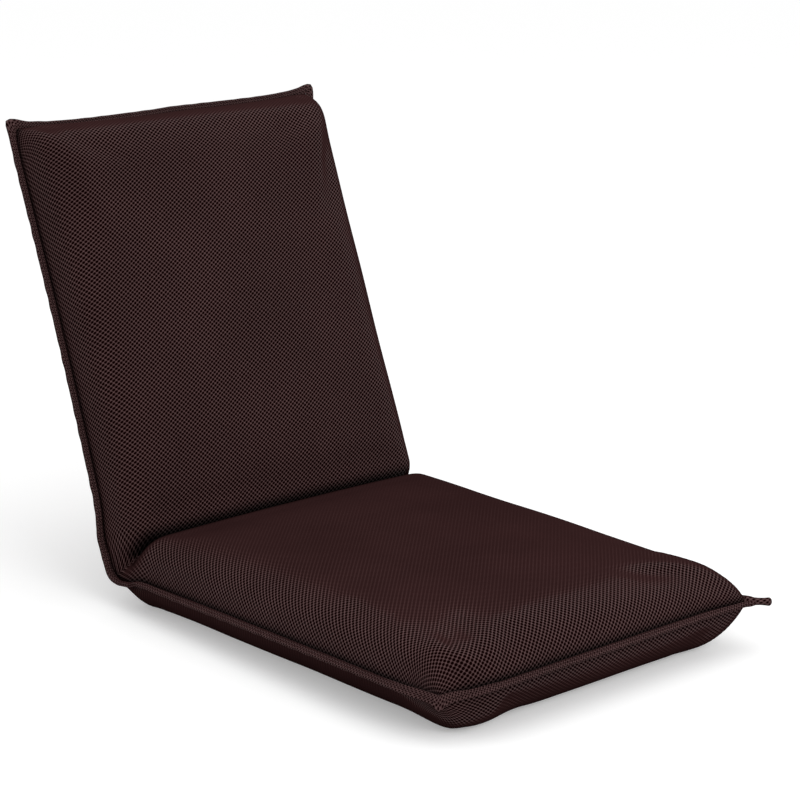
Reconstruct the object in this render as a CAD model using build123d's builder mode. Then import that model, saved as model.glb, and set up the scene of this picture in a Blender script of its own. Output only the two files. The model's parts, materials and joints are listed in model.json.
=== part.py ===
from build123d import *
from math import acos, atan2, cos, degrees, hypot, pi, radians, sin, sqrt
import os

os.makedirs("parts", exist_ok=True)

# A folding floor chair: a seat pad and a backrest pad in one air mesh cover, each over a bent steel
# tube, joined by two ratchet hinges that set the backrest at steps from upright to flat.
#
# Millimetres, +Z up. The chair's front is toward -Y, left and right are as seen from the front.
# The origin is on the floor, under the middle of the seat.

# ---------------------------------------------------------------- overall sizes
seat_length = 514.0  # hinge seam to front seam
back_length = 505.0  # hinge seam to the top corners
pad_width = 420.0  # side seam to side seam at the corners
side_draw_in = 5.0  # how far each side pulls in between the corners
rest_angle = 112.5  # between seat and backrest, as the chair stands
cover_wall = 2.4  # air mesh with its thin wadding
foam_gap = 0.3  # between foam and cover
panel_gap = 0.5  # between the seat's and the backrest's soft ends

# ---------------------------------------------------------------- pads
seat_crown = 87.0  # height of the seat's middle above the floor
seat_seam_rear = 36.0  # height of the side seam at the hinge
seat_seam_front = 50.0  # height of the side seam at the front
seat_shoulder_inset = 42.0  # from the side seam in to where the seat's top flattens
seat_foot_inset = 46.0  # from the side seam in to where the underside meets the floor
seat_nose = 44.0  # length of the seat's rounded front end
back_thickness = 76.0  # rear panel to front crown
back_shoulder_inset = 34.0
back_foot_inset = 44.0
back_nose = 40.0  # length of the backrest's rounded top end
back_top_hollow = 8.0  # the top seam's middle lies this much below its corners
back_seam_bow = 28.0  # how far the side seams bow to the rear
back_seam_lean = 5.0  # how far the top corners lie to the rear
shoulder_drop = 5.0  # crown to shoulder, both pads
side_fullness = 0.72  # how square the sides are between seam and shoulder
nose_turns = (6, 25, 48, 70, 90)  # degrees round a pad's nose at which its form is set
body_spans = 5  # a pad's form is set at the ends of this many spans along it
seam_spans = 8  # and its seam line at the ends of this many
cut_past = 30.0  # how far a form or a cut runs on past the hinge axis or a pad's end
floor_cut = 1.0  # how much is cut off the pads' undersides, to leave them flat

# ---------------------------------------------------------------- crease at the hinge
crease_reach = 25.0  # hinge axis to the bottom of the crease
crease_round = 32.0  # radius of the pads' ends above the crease
gusset_height = 75.0  # the rear panel leans in below this height, to meet the seat's underside

# ---------------------------------------------------------------- seam flange
flange_width = 7.0
flange_thickness = 3.6
flange_clearance = 0.25
flange_start = 1.0  # from the hinge axis to where the lips begin
corner_run = 26.0  # length over which the flange draws out to a corner point
corner_point = 6.0
nub_length = 19.0
nub_radius = 3.2

# ---------------------------------------------------------------- frames
tube_diameter = 16.0
tube_wall = 1.2
tube_fit = 0.3  # between tube and foam
frame_width = 320.0  # centre to centre of the side rails
frame_bend = 48.0  # centre line radius of the two bends
frame_inset = 45.0  # from the end seam in to the end rail
rail_start = 33.0  # from the hinge axis to the cut ends of the side rails
cross_tube_diameter = 12.0
cross_tube_reach = 112.0  # from the hinge axis to the cross tube
weld_gap = 0.05
band_width = 40.0
band_thickness = 1.5
band_fit = 0.2
band_hook = 6.0  # how far each band's end reaches back under its rail
band_count = 3
band_first = 190.0  # from the hinge axis to the first band
band_pitch = 92.0

# ---------------------------------------------------------------- ratchet hinge
axis_height = 50.0  # hinge axis above the floor
axis_setback = 4.0  # hinge axis in front of the hinge seam
rail_drop = 14.5  # side rails below the hinge axis, so that the pads can close on each other
upright_angle = 90.0  # degrees between seat and backrest in the steepest notch
notch_count = 5
notch_step = 22.5  # degrees
tooth_tip = 16.8  # radius
tooth_root = 13.8
tooth_land = 2.2  # degrees of flat tip
tooth_floor = 0.5  # degrees of flat at the root
rim_end = 290.0  # degrees from the backrest's rail round to where the plain rim stops
swing_from, swing_to = -20.0, 90.0  # degrees of the arm kept clear for the pawl
arm_low, arm_high = -2.2, 0.8  # layers, measured outward from the rails' centre
disc_low, disc_high = 1.0, 2.2
pawl_low, pawl_high = -2.2, 2.2
cheek_gap_half = 2.4
cheek_thickness = 2.0
cheek_head = 18.6
cheek_hub = 12.0
pawl_pin_along = 20.0
pawl_pin_up = 12.5
pawl_lobe = 6.0
pawl_boss = 3.4
pawl_pin_radius = 2.0
pawl_reach = 14.4  # pin centre to the nose's end face
pawl_lift = 14.0  # degrees that the nose is held off the teeth
nose_clearance = 0.3
nose_thickness = 5.0
push_out = 1.2  # the middle of the nose, out from the tooth root
push_down = 1.0  # and below the level of the axis
heel_clearance = 1.0  # degrees from the nose's heel to the next ramp
disc_stroke = 28.0  # degrees the release disc turns to drop or lift the pawl
disc_clearance = 0.2
disc_floor = 6.0  # degrees of the disc's notch at its deepest
disc_wall = 2.0  # degrees over which the notch climbs back to the rim
pivot_radius = 4.0
pin_clearance = 0.05
rivet_head = 7.0
rivet_head_height = 2.0
pin_head = 3.4
pin_head_height = 1.2
arm_neck = 6.2
tail_reach = 65.0
tail_clearance = 0.3
cheek_tail_width = 10.0
cheek_neck = 5.0
neck_along = 27.0
rivet_first = 42.0
rivet_pitch = 14.0
rail_rivet_radius = 2.5
rail_rivet_head = 4.5
rail_rivet_dome = 1.8
rail_rivet_taper = 25.0
spring_wire = 1.2
spring_post_along = 26.6
spring_post_up = -8.0
spring_post_radius = 1.5
spring_gap = 0.15
spring_tail = 7.0  # the wire's lower end below the post
spring_tail_lean = 0.7
spring_knee = 8.0  # the wire's bend below the pawl's boss
spring_tip = 4.5  # and its upper end
spring_tip_lean = 0.2
pocket_fit = 1.0  # foam's clearance round the hinge
pocket_half = 10.2

# ---------------------------------------------------------------- worked-out places
half_width = pad_width / 2
tube_radius = tube_diameter / 2
rail_x = frame_width / 2
hinge_seam_y = seat_length / 2
axis_y = hinge_seam_y - axis_setback
back_tilt = radians(180 - rest_angle)  # of the backrest above the horizontal
seat_crown_up = seat_crown - axis_height
seat_front = seat_length - axis_setback
# The hinge seam's corner as the backrest sees it, from the axis.
corner_along = axis_setback * cos(back_tilt) + (seat_seam_rear - axis_height) * sin(back_tilt)
corner_up = -axis_setback * sin(back_tilt) + (seat_seam_rear - axis_height) * cos(back_tilt)
back_end = back_length + corner_along
back_crown_up = back_thickness - axis_height
reach = 2 * (seat_length + back_length)

# Each pad has a side plane: its x runs away from the hinge axis along the pad, its y out of the
# pad's front face. The seat's and the backrest's are mirror images about the crease.
axis_point = Vector(0, axis_y, axis_height)
seat_side = Plane(origin=axis_point, x_dir=(0, -1, 0), z_dir=(-1, 0, 0))
back_side = Plane(origin=axis_point, x_dir=(0, cos(back_tilt), sin(back_tilt)), z_dir=(1, 0, 0))


def across(side, along, up=0.0):
    """Plane across a pad, its y out of the pad's face."""
    origin = side.from_local_coords(Vector(along, up, 0))
    return Plane(origin=origin, x_dir=side.z_dir * -1, z_dir=side.x_dir)


def over(side, up=0.0):
    """Plane lying in a pad, its x across the chair and its y along the pad."""
    origin = side.from_local_coords(Vector(0, up, 0))
    return Plane(origin=origin, x_dir=side.z_dir, z_dir=side.y_dir)


def polar(radius, angle):
    return (radius * cos(radians(angle)), radius * sin(radians(angle)))


def turned(point, centre, angle):
    """A point turned about a centre, in degrees."""
    x, y = point[0] - centre[0], point[1] - centre[1]
    c, s = cos(radians(angle)), sin(radians(angle))
    return (centre[0] + c * x - s * y, centre[1] + s * x + c * y)


# ---------------------------------------------------------------- soft shapes
def half_width_at(along, end):
    """Half the pad's width: widest at its two ends."""
    middle = (end + corner_along) / 2
    share = (along - middle) / (end - middle)
    return half_width - side_draw_in * (1 - min(1.0, share * share))


def seat_seam_at(along):
    share = (along + axis_setback) / seat_length
    return seat_seam_rear - axis_height + (seat_seam_front - seat_seam_rear) * share


def back_seam_at(along):
    share = max(0.0, (along - corner_along) / back_length)
    return corner_up - back_seam_bow * sin(pi * share ** 0.6) - back_seam_lean * share


def pad_section(side, along, half, seam, top, bottom, shoulder, foot):
    """A pad's cross-section: seam, full side, crowned face and flat underside."""
    drop = min(shoulder_drop, (top - seam) / 4)
    bulge = side_fullness
    with BuildSketch(across(side, along)) as section:
        with BuildLine():
            left_seam, right_seam = (-half, seam), (half, seam)
            left_top, right_top = (-half + shoulder, top - drop), (half - shoulder, top - drop)
            left_foot, right_foot = (-half + foot, bottom), (half - foot, bottom)
            side_top = seam + bulge * (top - drop - seam)
            side_foot = seam + bulge * (bottom - seam)
            inset = 1 - bulge
            ThreePointArc(left_seam, (-half + inset * shoulder, side_top), left_top)
            ThreePointArc(left_top, (0, top), right_top)
            ThreePointArc(right_top, (half - inset * shoulder, side_top), right_seam)
            ThreePointArc(right_seam, (half - inset * foot, side_foot), right_foot)
            Line(right_foot, left_foot)
            ThreePointArc(left_foot, (-half + inset * foot, side_foot), left_seam)
        make_face()
    return section.sketch


def pad_lofts(side, end, nose, seam_at, top, bottom, shoulder, foot, inset):
    """Sections of a pad's rounded end, and of its body to past the hinge, drawn in by the inset."""

    def section(along, fill):
        seam = seam_at(along)
        high = seam + fill * (top - inset - seam)
        low = seam + fill * (bottom + inset - floor_cut - seam)
        half = half_width_at(along, end) - inset
        return pad_section(side, along, half, seam, high, low, shoulder, foot)

    rounded = []
    for turn in nose_turns:
        along = end - inset - (nose - inset) * (1 - cos(radians(turn)))
        rounded.append(section(along, sin(radians(turn))))
    body = end - nose
    straight = [
        section(body - (body + cut_past) * index / body_spans, 1.0)
        for index in range(body_spans + 1)
    ]
    return rounded, straight


def keep_profile(side, crown, inset, gusset):
    """Side view of a pad's room: flat underneath, up to the crease, hinge line and gusset."""
    half_angle = radians(rest_angle / 2)
    gap = panel_gap / 2
    low = -axis_height + inset
    high = 2 * axis_height
    # The crease line is set off by the gap, square to itself.
    shift = (gap * sin(half_angle), -gap * cos(half_angle))
    knee = (gap, gap * (sin(half_angle) - 1) / cos(half_angle))
    bottom = polar(crease_reach, rest_angle / 2)
    apex = (bottom[0] + shift[0], bottom[1] + shift[1])
    rise = crown - apex[1]
    centre = (apex[0] + sqrt(2 * crease_round * rise - rise ** 2), crown - crease_round)
    lean = degrees(atan2(apex[1] - centre[1], apex[0] - centre[0]))
    radius = crease_round - inset
    arc = [
        (centre[0] + radius * cos(radians(angle)), centre[1] + radius * sin(radians(angle)))
        for angle in (lean, (lean + 90) / 2, 90)
    ]
    deep = polar(crease_reach - 2 * inset, rest_angle / 2)
    foot = (deep[0] + shift[0], deep[1] + shift[1])
    if gusset:
        begin = (gusset_foot[0], gusset_foot[1] + inset)
        slope = (low - begin[1]) / (gusset_top - begin[0])
        back = [(gusset_top, low), (gap, begin[1] + slope * (gap - begin[0]))]
    else:
        back = [(gap, low)]
    with BuildSketch(side) as profile:
        with BuildLine():
            if inset > 0:
                Polyline(knee, foot, arc[0])
            else:
                Line(knee, arc[0])
            ThreePointArc(*arc)
            Polyline(arc[2], (arc[2][0], high), (reach, high), (reach, low), *back, knee)
        make_face()
    return profile.sketch


# The gusset line, from the seat's rear bottom edge to the backrest's rear panel, in the
# backrest's side plane.
gusset_foot = (
    axis_setback * cos(back_tilt) - axis_height * sin(back_tilt),
    -axis_setback * sin(back_tilt) - axis_height * cos(back_tilt),
)
gusset_top = gusset_height + corner_along


def seam_stations(end):
    """Places along a pad that its seam line runs through, from past its end to past the hinge."""
    run = end + 2 * cut_past
    return [end + cut_past - run * index / seam_spans for index in range(seam_spans + 1)]


def seam_region(side, seam_at, end, above):
    """Side view of the room above or below a seam."""
    line = [(along, seam_at(along)) for along in seam_stations(end)]
    limit = 3 * axis_height if above else -3 * axis_height
    with BuildSketch(side) as region:
        with BuildLine():
            Spline(*line)
            Polyline(line[-1], (line[-1][0], limit), (line[0][0], limit), line[0])
        make_face()
    return region.sketch


def seam_strip(side, seam_at, end):
    """Side view of the flange: the seam line with the flange's thickness."""
    half = flange_thickness / 2
    upper = [(along, seam_at(along) + half) for along in seam_stations(end)]
    lower = [(along, seam_at(along) - half) for along in reversed(seam_stations(end))]
    with BuildSketch(side) as strip:
        with BuildLine():
            Spline(*upper)
            Line(upper[-1], lower[0])
            Spline(*lower)
            Line(lower[-1], upper[0])
        make_face()
    return strip.sketch


def flange_outline(side, start, end, grow, point):
    """Plan of a pad's outline, grown, its two far corners drawn out to points."""
    half = half_width + grow
    middle = (end + corner_along) / 2
    near = half_width_at(start, end) + grow
    tip = (half + point, end + grow + point)
    with BuildSketch(over(side)) as outline:
        with BuildLine():
            Line((-near, start), (near, start))
            ThreePointArc((near, start), (half - side_draw_in, middle), (half, end - corner_run))
            Line((half, end - corner_run), tip)
            Line(tip, (half - corner_run, end + grow))
            Line((half - corner_run, end + grow), (-half + corner_run, end + grow))
            Line((-half + corner_run, end + grow), (-tip[0], tip[1]))
            Line((-tip[0], tip[1]), (-half, end - corner_run))
            ThreePointArc((-half, end - corner_run), (-half + side_draw_in, middle), (-near, start))
        make_face()
    return outline.sketch


# ---------------------------------------------------------------- seat and backrest shapes
seat_soft = (seat_side, seat_front, seat_nose, seat_seam_at, seat_crown_up, -axis_height)
seat_edges = (seat_shoulder_inset, seat_foot_inset)
back_pad_end = back_end - back_top_hollow
back_soft = (back_side, back_pad_end, back_nose, back_seam_at, back_crown_up, -axis_height)
back_edges = (back_shoulder_inset, back_foot_inset)


def pad_solid(soft, edges, inset, gusset):
    """A pad's outer form, drawn in by the inset and cut to its side view."""
    rounded, straight = pad_lofts(*soft, *edges, inset)
    with BuildPart() as pad:
        loft(sections=straight)
        loft(sections=rounded)
        keep = keep_profile(soft[0], soft[4], inset, gusset)
        extrude(to_extrude=keep, amount=pad_width, both=True, mode=Mode.INTERSECT)
    return pad.part


seat_outer = pad_solid(seat_soft, seat_edges, 0.0, False)
seat_inner = pad_solid(seat_soft, seat_edges, cover_wall, False)
seat_filling = pad_solid(seat_soft, seat_edges, cover_wall + foam_gap, False)
back_outer = pad_solid(back_soft, back_edges, 0.0, True)
back_inner = pad_solid(back_soft, back_edges, cover_wall, True)
back_filling = pad_solid(back_soft, back_edges, cover_wall + foam_gap, True)


def frame_path(side, end):
    """Centre line of a U-bent tube: up one rail, round the end and back."""
    plane = over(side, -rail_drop)
    with BuildLine(plane) as path:
        FilletPolyline(
            (-rail_x, rail_start), (-rail_x, end), (rail_x, end), (rail_x, rail_start),
            radius=frame_bend,
        )
    return path.line


def frame_tube(side, end, radius):
    """A round bar along the frame's centre line."""
    path = frame_path(side, end)
    with BuildPart() as bar:
        with BuildSketch(Plane(origin=path @ 0, z_dir=path % 0)):
            Circle(radius)
        sweep(path=path)
    return bar.part


def rail_rivet_places():
    return [rivet_first, rivet_first + rivet_pitch]


def band_profile(grow):
    """End view of a webbing band: over both rails and hooked back under them."""
    inner = tube_radius + band_fit - grow
    outer = tube_radius + band_fit + band_thickness + grow
    with BuildSketch() as profile:
        SlotCenterToCenter(frame_width, 2 * outer)
        SlotCenterToCenter(frame_width, 2 * inner, mode=Mode.SUBTRACT)
        with Locations((0, -outer)):
            Rectangle(frame_width - 2 * band_hook - 2 * grow, 2 * inner, mode=Mode.SUBTRACT)
    return profile.sketch


def bands(side, grow):
    """The webbing bands across a frame."""
    with BuildPart() as webbing:
        for index in range(band_count):
            along = band_first + index * band_pitch - band_width / 2 - grow
            with BuildSketch(across(side, along, -rail_drop)):
                add(band_profile(grow))
            extrude(amount=band_width + 2 * grow)
    return webbing.part


def cross_bar(side, radius):
    """A round bar between the side rails."""
    plane = Plane(
        origin=side.from_local_coords(Vector(cross_tube_reach, -rail_drop, 0)),
        z_dir=(1, 0, 0),
    )
    with BuildPart() as bar:
        with BuildSketch(plane):
            Circle(radius)
        extrude(amount=rail_x, both=True)
    return bar.part


# ---------------------------------------------------------------- ratchet hinge outlines
pin_place = (pawl_pin_along, pawl_pin_up)
pin_radius_out = hypot(*pin_place)
# The nose pushes on the teeth along the line to its pin, so that load keeps it in mesh.
push = (pawl_pin_along - (tooth_root + push_out), pawl_pin_up + push_down)
push_length = hypot(*push)
push_unit = (push[0] / push_length, push[1] / push_length)


def on_face(distance, radius):
    """Angle at which the face square to the push, this far from the pin, meets a radius."""
    level = pin_place[0] * push_unit[0] + pin_place[1] * push_unit[1] - distance
    return degrees(atan2(push_unit[1], push_unit[0]) - acos(level / radius))


flank = pawl_reach + nose_clearance
flank_root = on_face(flank, tooth_root)
flank_tip = on_face(flank, tooth_tip)
nose_inner = tooth_root + nose_clearance
nose_outer = nose_inner + nose_thickness
nose_tip = polar(nose_inner, on_face(pawl_reach, nose_inner))
nose_back = polar(nose_outer, on_face(pawl_reach, nose_outer))
ramp_end = flank_tip + notch_step - tooth_land
nose_heel = polar(tooth_tip + nose_clearance, ramp_end - heel_clearance)
lifted_tip = turned(nose_tip, pin_place, pawl_lift)
disc_rim = hypot(*lifted_tip) - disc_clearance
disc_low_rim = nose_inner - disc_clearance
disc_high_at = degrees(atan2(lifted_tip[1], lifted_tip[0]))
disc_low_at = degrees(atan2(nose_tip[1], nose_tip[0])) - disc_stroke


def seat_layer(side_sign, low, high):
    """Side plane of the seat at the inner face of one hinge layer, and its thickness."""
    x = max(side_sign * (rail_x + low), side_sign * (rail_x + high))
    origin = Vector(x, axis_y, axis_height)
    return Plane(origin=origin, x_dir=seat_side.x_dir, z_dir=seat_side.z_dir)


def back_layer(side_sign, low, high):
    x = min(side_sign * (rail_x + low), side_sign * (rail_x + high))
    origin = Vector(x, axis_y, axis_height)
    return Plane(origin=origin, x_dir=back_side.x_dir, z_dir=back_side.z_dir)


def cheek_outline(plane, grow):
    """Cheek plate: round head, lobe for the pawl's pin and a neck that drops to the rail."""
    with BuildSketch(plane) as outline:
        Circle(cheek_hub + grow)
        with Locations(pin_place):
            Circle(pawl_lobe + grow)
        with Locations((neck_along, -rail_drop)):
            Circle(cheek_neck + grow)
        make_hull()
        Circle(cheek_head + grow)
        with Locations((neck_along, -rail_drop)):
            Rectangle(
                tail_reach - neck_along, cheek_tail_width + 2 * grow,
                align=(Align.MIN, Align.CENTER),
            )
    return outline.sketch


def arm_outline(plane, grow):
    """Toothed arm without its teeth: head, neck and tail, clear of the pawl as it swings by."""
    bore = tube_radius - tube_wall
    tail_width = 2 * (sqrt(bore ** 2 - arm_low ** 2) - tail_clearance)
    with BuildSketch(mode=Mode.PRIVATE) as swing:
        Circle(pin_radius_out + pawl_boss + nose_clearance - grow)
        Circle(tooth_root + grow, mode=Mode.SUBTRACT)
        third = (swing_to - swing_from) / 3
        sector = [polar(reach, swing_from + third * index) for index in range(4)]
        Polygon((0, 0), *sector, align=None, mode=Mode.INTERSECT)
    with BuildSketch(plane) as outline:
        Circle(tooth_root + grow)
        with Locations((neck_along, -rail_drop)):
            Circle(arm_neck + grow)
        make_hull()
        add(swing.sketch_local, mode=Mode.SUBTRACT)
        with Locations((neck_along, -rail_drop)):
            Rectangle(
                tail_reach - neck_along, tail_width + 2 * grow, align=(Align.MIN, Align.CENTER)
            )
    return outline.sketch


def tooth_ring(plane):
    """The ratchet teeth and the plain rim beyond them, in the arm's own angles."""
    # Angles on the arm run from the backrest toward its front face, against the pawl's.
    with BuildSketch(plane) as ring:
        with BuildLine():
            outline = []
            for index in range(notch_count):
                centre = upright_angle + index * notch_step
                if index > 0:
                    outline.append(polar(tooth_tip, centre - ramp_end))
                outline.append(polar(tooth_root, centre + tooth_floor))
                outline.append(polar(tooth_root, centre - flank_root))
                outline.append(polar(tooth_tip, centre - flank_tip))
            Polyline(*outline)
            last = upright_angle + (notch_count - 1) * notch_step - flank_tip
            ThreePointArc(
                outline[-1], polar(tooth_tip, (last + rim_end) / 2), polar(tooth_tip, rim_end)
            )
            Line(polar(tooth_tip, rim_end), (0, 0))
            Line((0, 0), outline[0])
        make_face()
    return ring.sketch


def pawl_outline(plane, lift):
    """The pawl: a boss on its pin and a nose wide enough to ride the release disc."""
    corners = [
        nose_tip, nose_back,
        (pawl_pin_along + pawl_boss, pawl_pin_up),
        (pawl_pin_along - pawl_boss, pawl_pin_up),
        nose_heel,
    ]
    with BuildSketch(plane) as outline:
        Polygon(*[turned(corner, pin_place, lift) for corner in corners], align=None)
        with Locations(pin_place):
            Circle(pawl_boss)
            Circle(pawl_pin_radius + pin_clearance, mode=Mode.SUBTRACT)
    return outline.sketch


def disc_outline(plane):
    """Release disc: a plain rim with one notch that falls away in a spiral."""
    steps = 6
    spiral = []
    for index in range(steps + 1):
        share = index / steps
        radius = disc_rim + share * (disc_low_rim - disc_rim)
        spiral.append(polar(radius, disc_high_at + share * (disc_low_at - disc_high_at)))
    floor_end = disc_low_at - disc_floor
    wall_end = floor_end - disc_wall
    with BuildSketch(plane) as outline:
        with BuildLine():
            Spline(*spiral)
            Line(spiral[-1], polar(disc_low_rim, floor_end))
            Line(polar(disc_low_rim, floor_end), polar(disc_rim, wall_end))
            middle = (wall_end + disc_high_at - 360) / 2
            ThreePointArc(polar(disc_rim, wall_end), polar(disc_rim, middle), spiral[0])
        make_face()
        Circle(pivot_radius + pin_clearance, mode=Mode.SUBTRACT)
    return outline.sketch


def pocket(side, outline_of, layer_of):
    """Room in the foam round both hinges."""
    with BuildPart() as room:
        for sign in (-1, 1):
            plane = layer_of(sign, -pocket_half, pocket_half)
            extrude(to_extrude=outline_of(plane), amount=2 * pocket_half)
    return room.part


def head_round(plane):
    with BuildSketch(plane) as outline:
        Circle(cheek_head + pocket_fit)
    return outline.sketch


seat_pocket = pocket(seat_side, lambda plane: cheek_outline(plane, pocket_fit), seat_layer)
back_pocket = pocket(back_side, lambda plane: arm_outline(plane, pocket_fit), back_layer)
head_pocket = pocket(back_side, head_round, back_layer)

# ---------------------------------------------------------------- frames
seat_rail_end = seat_front - frame_inset
back_rail_end = back_pad_end - frame_inset


def rail_holes(side):
    """Cross holes for the rivets in both side rails."""
    with BuildPart() as holes:
        for along in rail_rivet_places():
            plane = Plane(
                origin=side.from_local_coords(Vector(along, -rail_drop, 0)), z_dir=(1, 0, 0)
            )
            with BuildSketch(plane):
                Circle(rail_rivet_radius + pin_clearance)
            extrude(amount=rail_x + tube_diameter, both=True)
    return holes.part


with BuildPart() as seat_frame_tube:
    add(frame_tube(seat_side, seat_rail_end, tube_radius))
    add(frame_tube(seat_side, seat_rail_end, tube_radius - tube_wall), mode=Mode.SUBTRACT)
    add(rail_holes(seat_side), mode=Mode.SUBTRACT)
seat_frame_tube.part.label = "seat_frame_tube"
export_step(seat_frame_tube.part, "parts/seat_frame_tube.step")

with BuildPart() as back_frame_tube:
    add(frame_tube(back_side, back_rail_end, tube_radius))
    add(frame_tube(back_side, back_rail_end, tube_radius - tube_wall), mode=Mode.SUBTRACT)
    add(rail_holes(back_side), mode=Mode.SUBTRACT)
back_frame_tube.part.label = "back_frame_tube"
export_step(back_frame_tube.part, "parts/back_frame_tube.step")

with BuildPart() as seat_cross_tube:
    add(cross_bar(seat_side, cross_tube_diameter / 2))
    add(cross_bar(seat_side, cross_tube_diameter / 2 - tube_wall), mode=Mode.SUBTRACT)
    add(frame_tube(seat_side, seat_rail_end, tube_radius + weld_gap), mode=Mode.SUBTRACT)
seat_cross_tube.part.label = "seat_cross_tube"
export_step(seat_cross_tube.part, "parts/seat_cross_tube.step")

with BuildPart() as back_cross_tube:
    add(cross_bar(back_side, cross_tube_diameter / 2))
    add(cross_bar(back_side, cross_tube_diameter / 2 - tube_wall), mode=Mode.SUBTRACT)
    add(frame_tube(back_side, back_rail_end, tube_radius + weld_gap), mode=Mode.SUBTRACT)
back_cross_tube.part.label = "back_cross_tube"
export_step(back_cross_tube.part, "parts/back_cross_tube.step")

with BuildPart() as seat_bands:
    add(bands(seat_side, 0.0))
seat_bands.part.label = "seat_bands"
export_step(seat_bands.part, "parts/seat_bands.step")

with BuildPart() as back_bands:
    add(bands(back_side, 0.0))
back_bands.part.label = "back_bands"
export_step(back_bands.part, "parts/back_bands.step")

# ---------------------------------------------------------------- foam slabs


def frame_room(side, end):
    """What a frame and its bands take out of the foam."""
    with BuildPart() as room:
        add(frame_tube(side, end, tube_radius + tube_fit))
        add(cross_bar(side, cross_tube_diameter / 2 + tube_fit))
        add(bands(side, tube_fit))
    return room.part


seat_frame_room = frame_room(seat_side, seat_rail_end)
back_frame_room = frame_room(back_side, back_rail_end)

with BuildPart() as seat_lower_foam:
    add(seat_filling)
    split(bisect_by=over(seat_side, -rail_drop), keep=Keep.BOTTOM)
    add(seat_frame_room, mode=Mode.SUBTRACT)
    add(seat_pocket, mode=Mode.SUBTRACT)
seat_lower_foam.part.label = "seat_lower_foam"
export_step(seat_lower_foam.part, "parts/seat_lower_foam.step")

with BuildPart() as seat_upper_foam:
    add(seat_filling)
    split(bisect_by=over(seat_side, -rail_drop), keep=Keep.TOP)
    add(seat_frame_room, mode=Mode.SUBTRACT)
    add(seat_pocket, mode=Mode.SUBTRACT)
seat_upper_foam.part.label = "seat_upper_foam"
export_step(seat_upper_foam.part, "parts/seat_upper_foam.step")

with BuildPart() as back_rear_foam:
    add(back_filling)
    split(bisect_by=over(back_side, -rail_drop), keep=Keep.BOTTOM)
    add(back_frame_room, mode=Mode.SUBTRACT)
    add(back_pocket, mode=Mode.SUBTRACT)
    add(head_pocket, mode=Mode.SUBTRACT)
back_rear_foam.part.label = "back_rear_foam"
export_step(back_rear_foam.part, "parts/back_rear_foam.step")

with BuildPart() as back_front_foam:
    add(back_filling)
    split(bisect_by=over(back_side, -rail_drop), keep=Keep.TOP)
    add(back_frame_room, mode=Mode.SUBTRACT)
    add(back_pocket, mode=Mode.SUBTRACT)
    add(head_pocket, mode=Mode.SUBTRACT)
    add(seat_pocket, mode=Mode.SUBTRACT)
back_front_foam.part.label = "back_front_foam"
export_step(back_front_foam.part, "parts/back_front_foam.step")

# ---------------------------------------------------------------- cover panels


def cover_panel(outer, inner, side, seam_at, end, above):
    """One panel of a cover: the shell on one side of its seam."""
    with BuildPart() as panel:
        add(outer)
        add(inner, mode=Mode.SUBTRACT)
        region = seam_region(side, seam_at, end, above)
        extrude(to_extrude=region, amount=pad_width, both=True, mode=Mode.INTERSECT)
    return panel.part


with BuildPart() as seat_cover_top:
    add(cover_panel(seat_outer, seat_inner, seat_side, seat_seam_at, seat_front, True))
seat_cover_top.part.label = "seat_cover_top"
export_step(seat_cover_top.part, "parts/seat_cover_top.step")

with BuildPart() as seat_cover_bottom:
    add(cover_panel(seat_outer, seat_inner, seat_side, seat_seam_at, seat_front, False))
seat_cover_bottom.part.label = "seat_cover_bottom"
export_step(seat_cover_bottom.part, "parts/seat_cover_bottom.step")

with BuildPart() as back_cover_front:
    add(cover_panel(back_outer, back_inner, back_side, back_seam_at, back_pad_end, True))
back_cover_front.part.label = "back_cover_front"
export_step(back_cover_front.part, "parts/back_cover_front.step")

with BuildPart() as back_cover_rear:
    add(cover_panel(back_outer, back_inner, back_side, back_seam_at, back_pad_end, False))
back_cover_rear.part.label = "back_cover_rear"
export_step(back_cover_rear.part, "parts/back_cover_rear.step")

# The stretch of cover that bridges the hinge from behind and below, drawn tight from the seat's
# underside to the backrest's rear panel.


def gusset_outline(inset):
    """Side view of the wedge between the pads' ends, out to the gusset line."""
    gap = panel_gap / 2 - inset
    end_dir = (cos(radians(rest_angle)), sin(radians(rest_angle)))
    top_place = back_side.from_local_coords(Vector(gusset_top, -axis_height, 0))
    top_point = seat_side.to_local_coords(top_place)
    foot = (-axis_setback, -axis_height)
    run = (top_point.X - foot[0], top_point.Y - foot[1])
    length = hypot(*run)
    foot = (foot[0] + inset * run[1] / length, foot[1] - inset * run[0] / length)
    # Where the gusset line meets the backrest's end plane and the drawn-in underside.
    share = (-gap - foot[0] * end_dir[0] - foot[1] * end_dir[1]) / (
        run[0] * end_dir[0] + run[1] * end_dir[1]
    )
    crown = (foot[0] + share * run[0], foot[1] + share * run[1])
    low = -axis_height + inset
    heel_share = (low - foot[1]) / run[1]
    heel = (foot[0] + heel_share * run[0], low)
    hub = (-gap, -gap * (1 + end_dir[0]) / end_dir[1])
    with BuildSketch(seat_side) as outline:
        Polygon((-gap, low), heel, crown, hub, align=None)
    return outline.sketch


# The gusset follows the seat's own cross-section at the hinge.
hinge_section = pad_section(
    seat_side, 0.0, half_width_at(0.0, seat_front), seat_seam_at(0.0), seat_crown_up,
    -axis_height, seat_shoulder_inset, seat_foot_inset,
)
hinge_section_inner = pad_section(
    seat_side, 0.0, half_width_at(0.0, seat_front) - cover_wall, seat_seam_at(0.0),
    seat_crown_up - cover_wall, -axis_height + cover_wall, seat_shoulder_inset, seat_foot_inset,
)


def gusset_solid(section, inset):
    """The wedge between the pads' ends, with the seat's own section across the chair."""
    with BuildPart() as solid:
        extrude(to_extrude=section, amount=2 * axis_height, both=True)
        extrude(
            to_extrude=gusset_outline(inset), amount=pad_width, both=True, mode=Mode.INTERSECT
        )
    return solid.part


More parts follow.
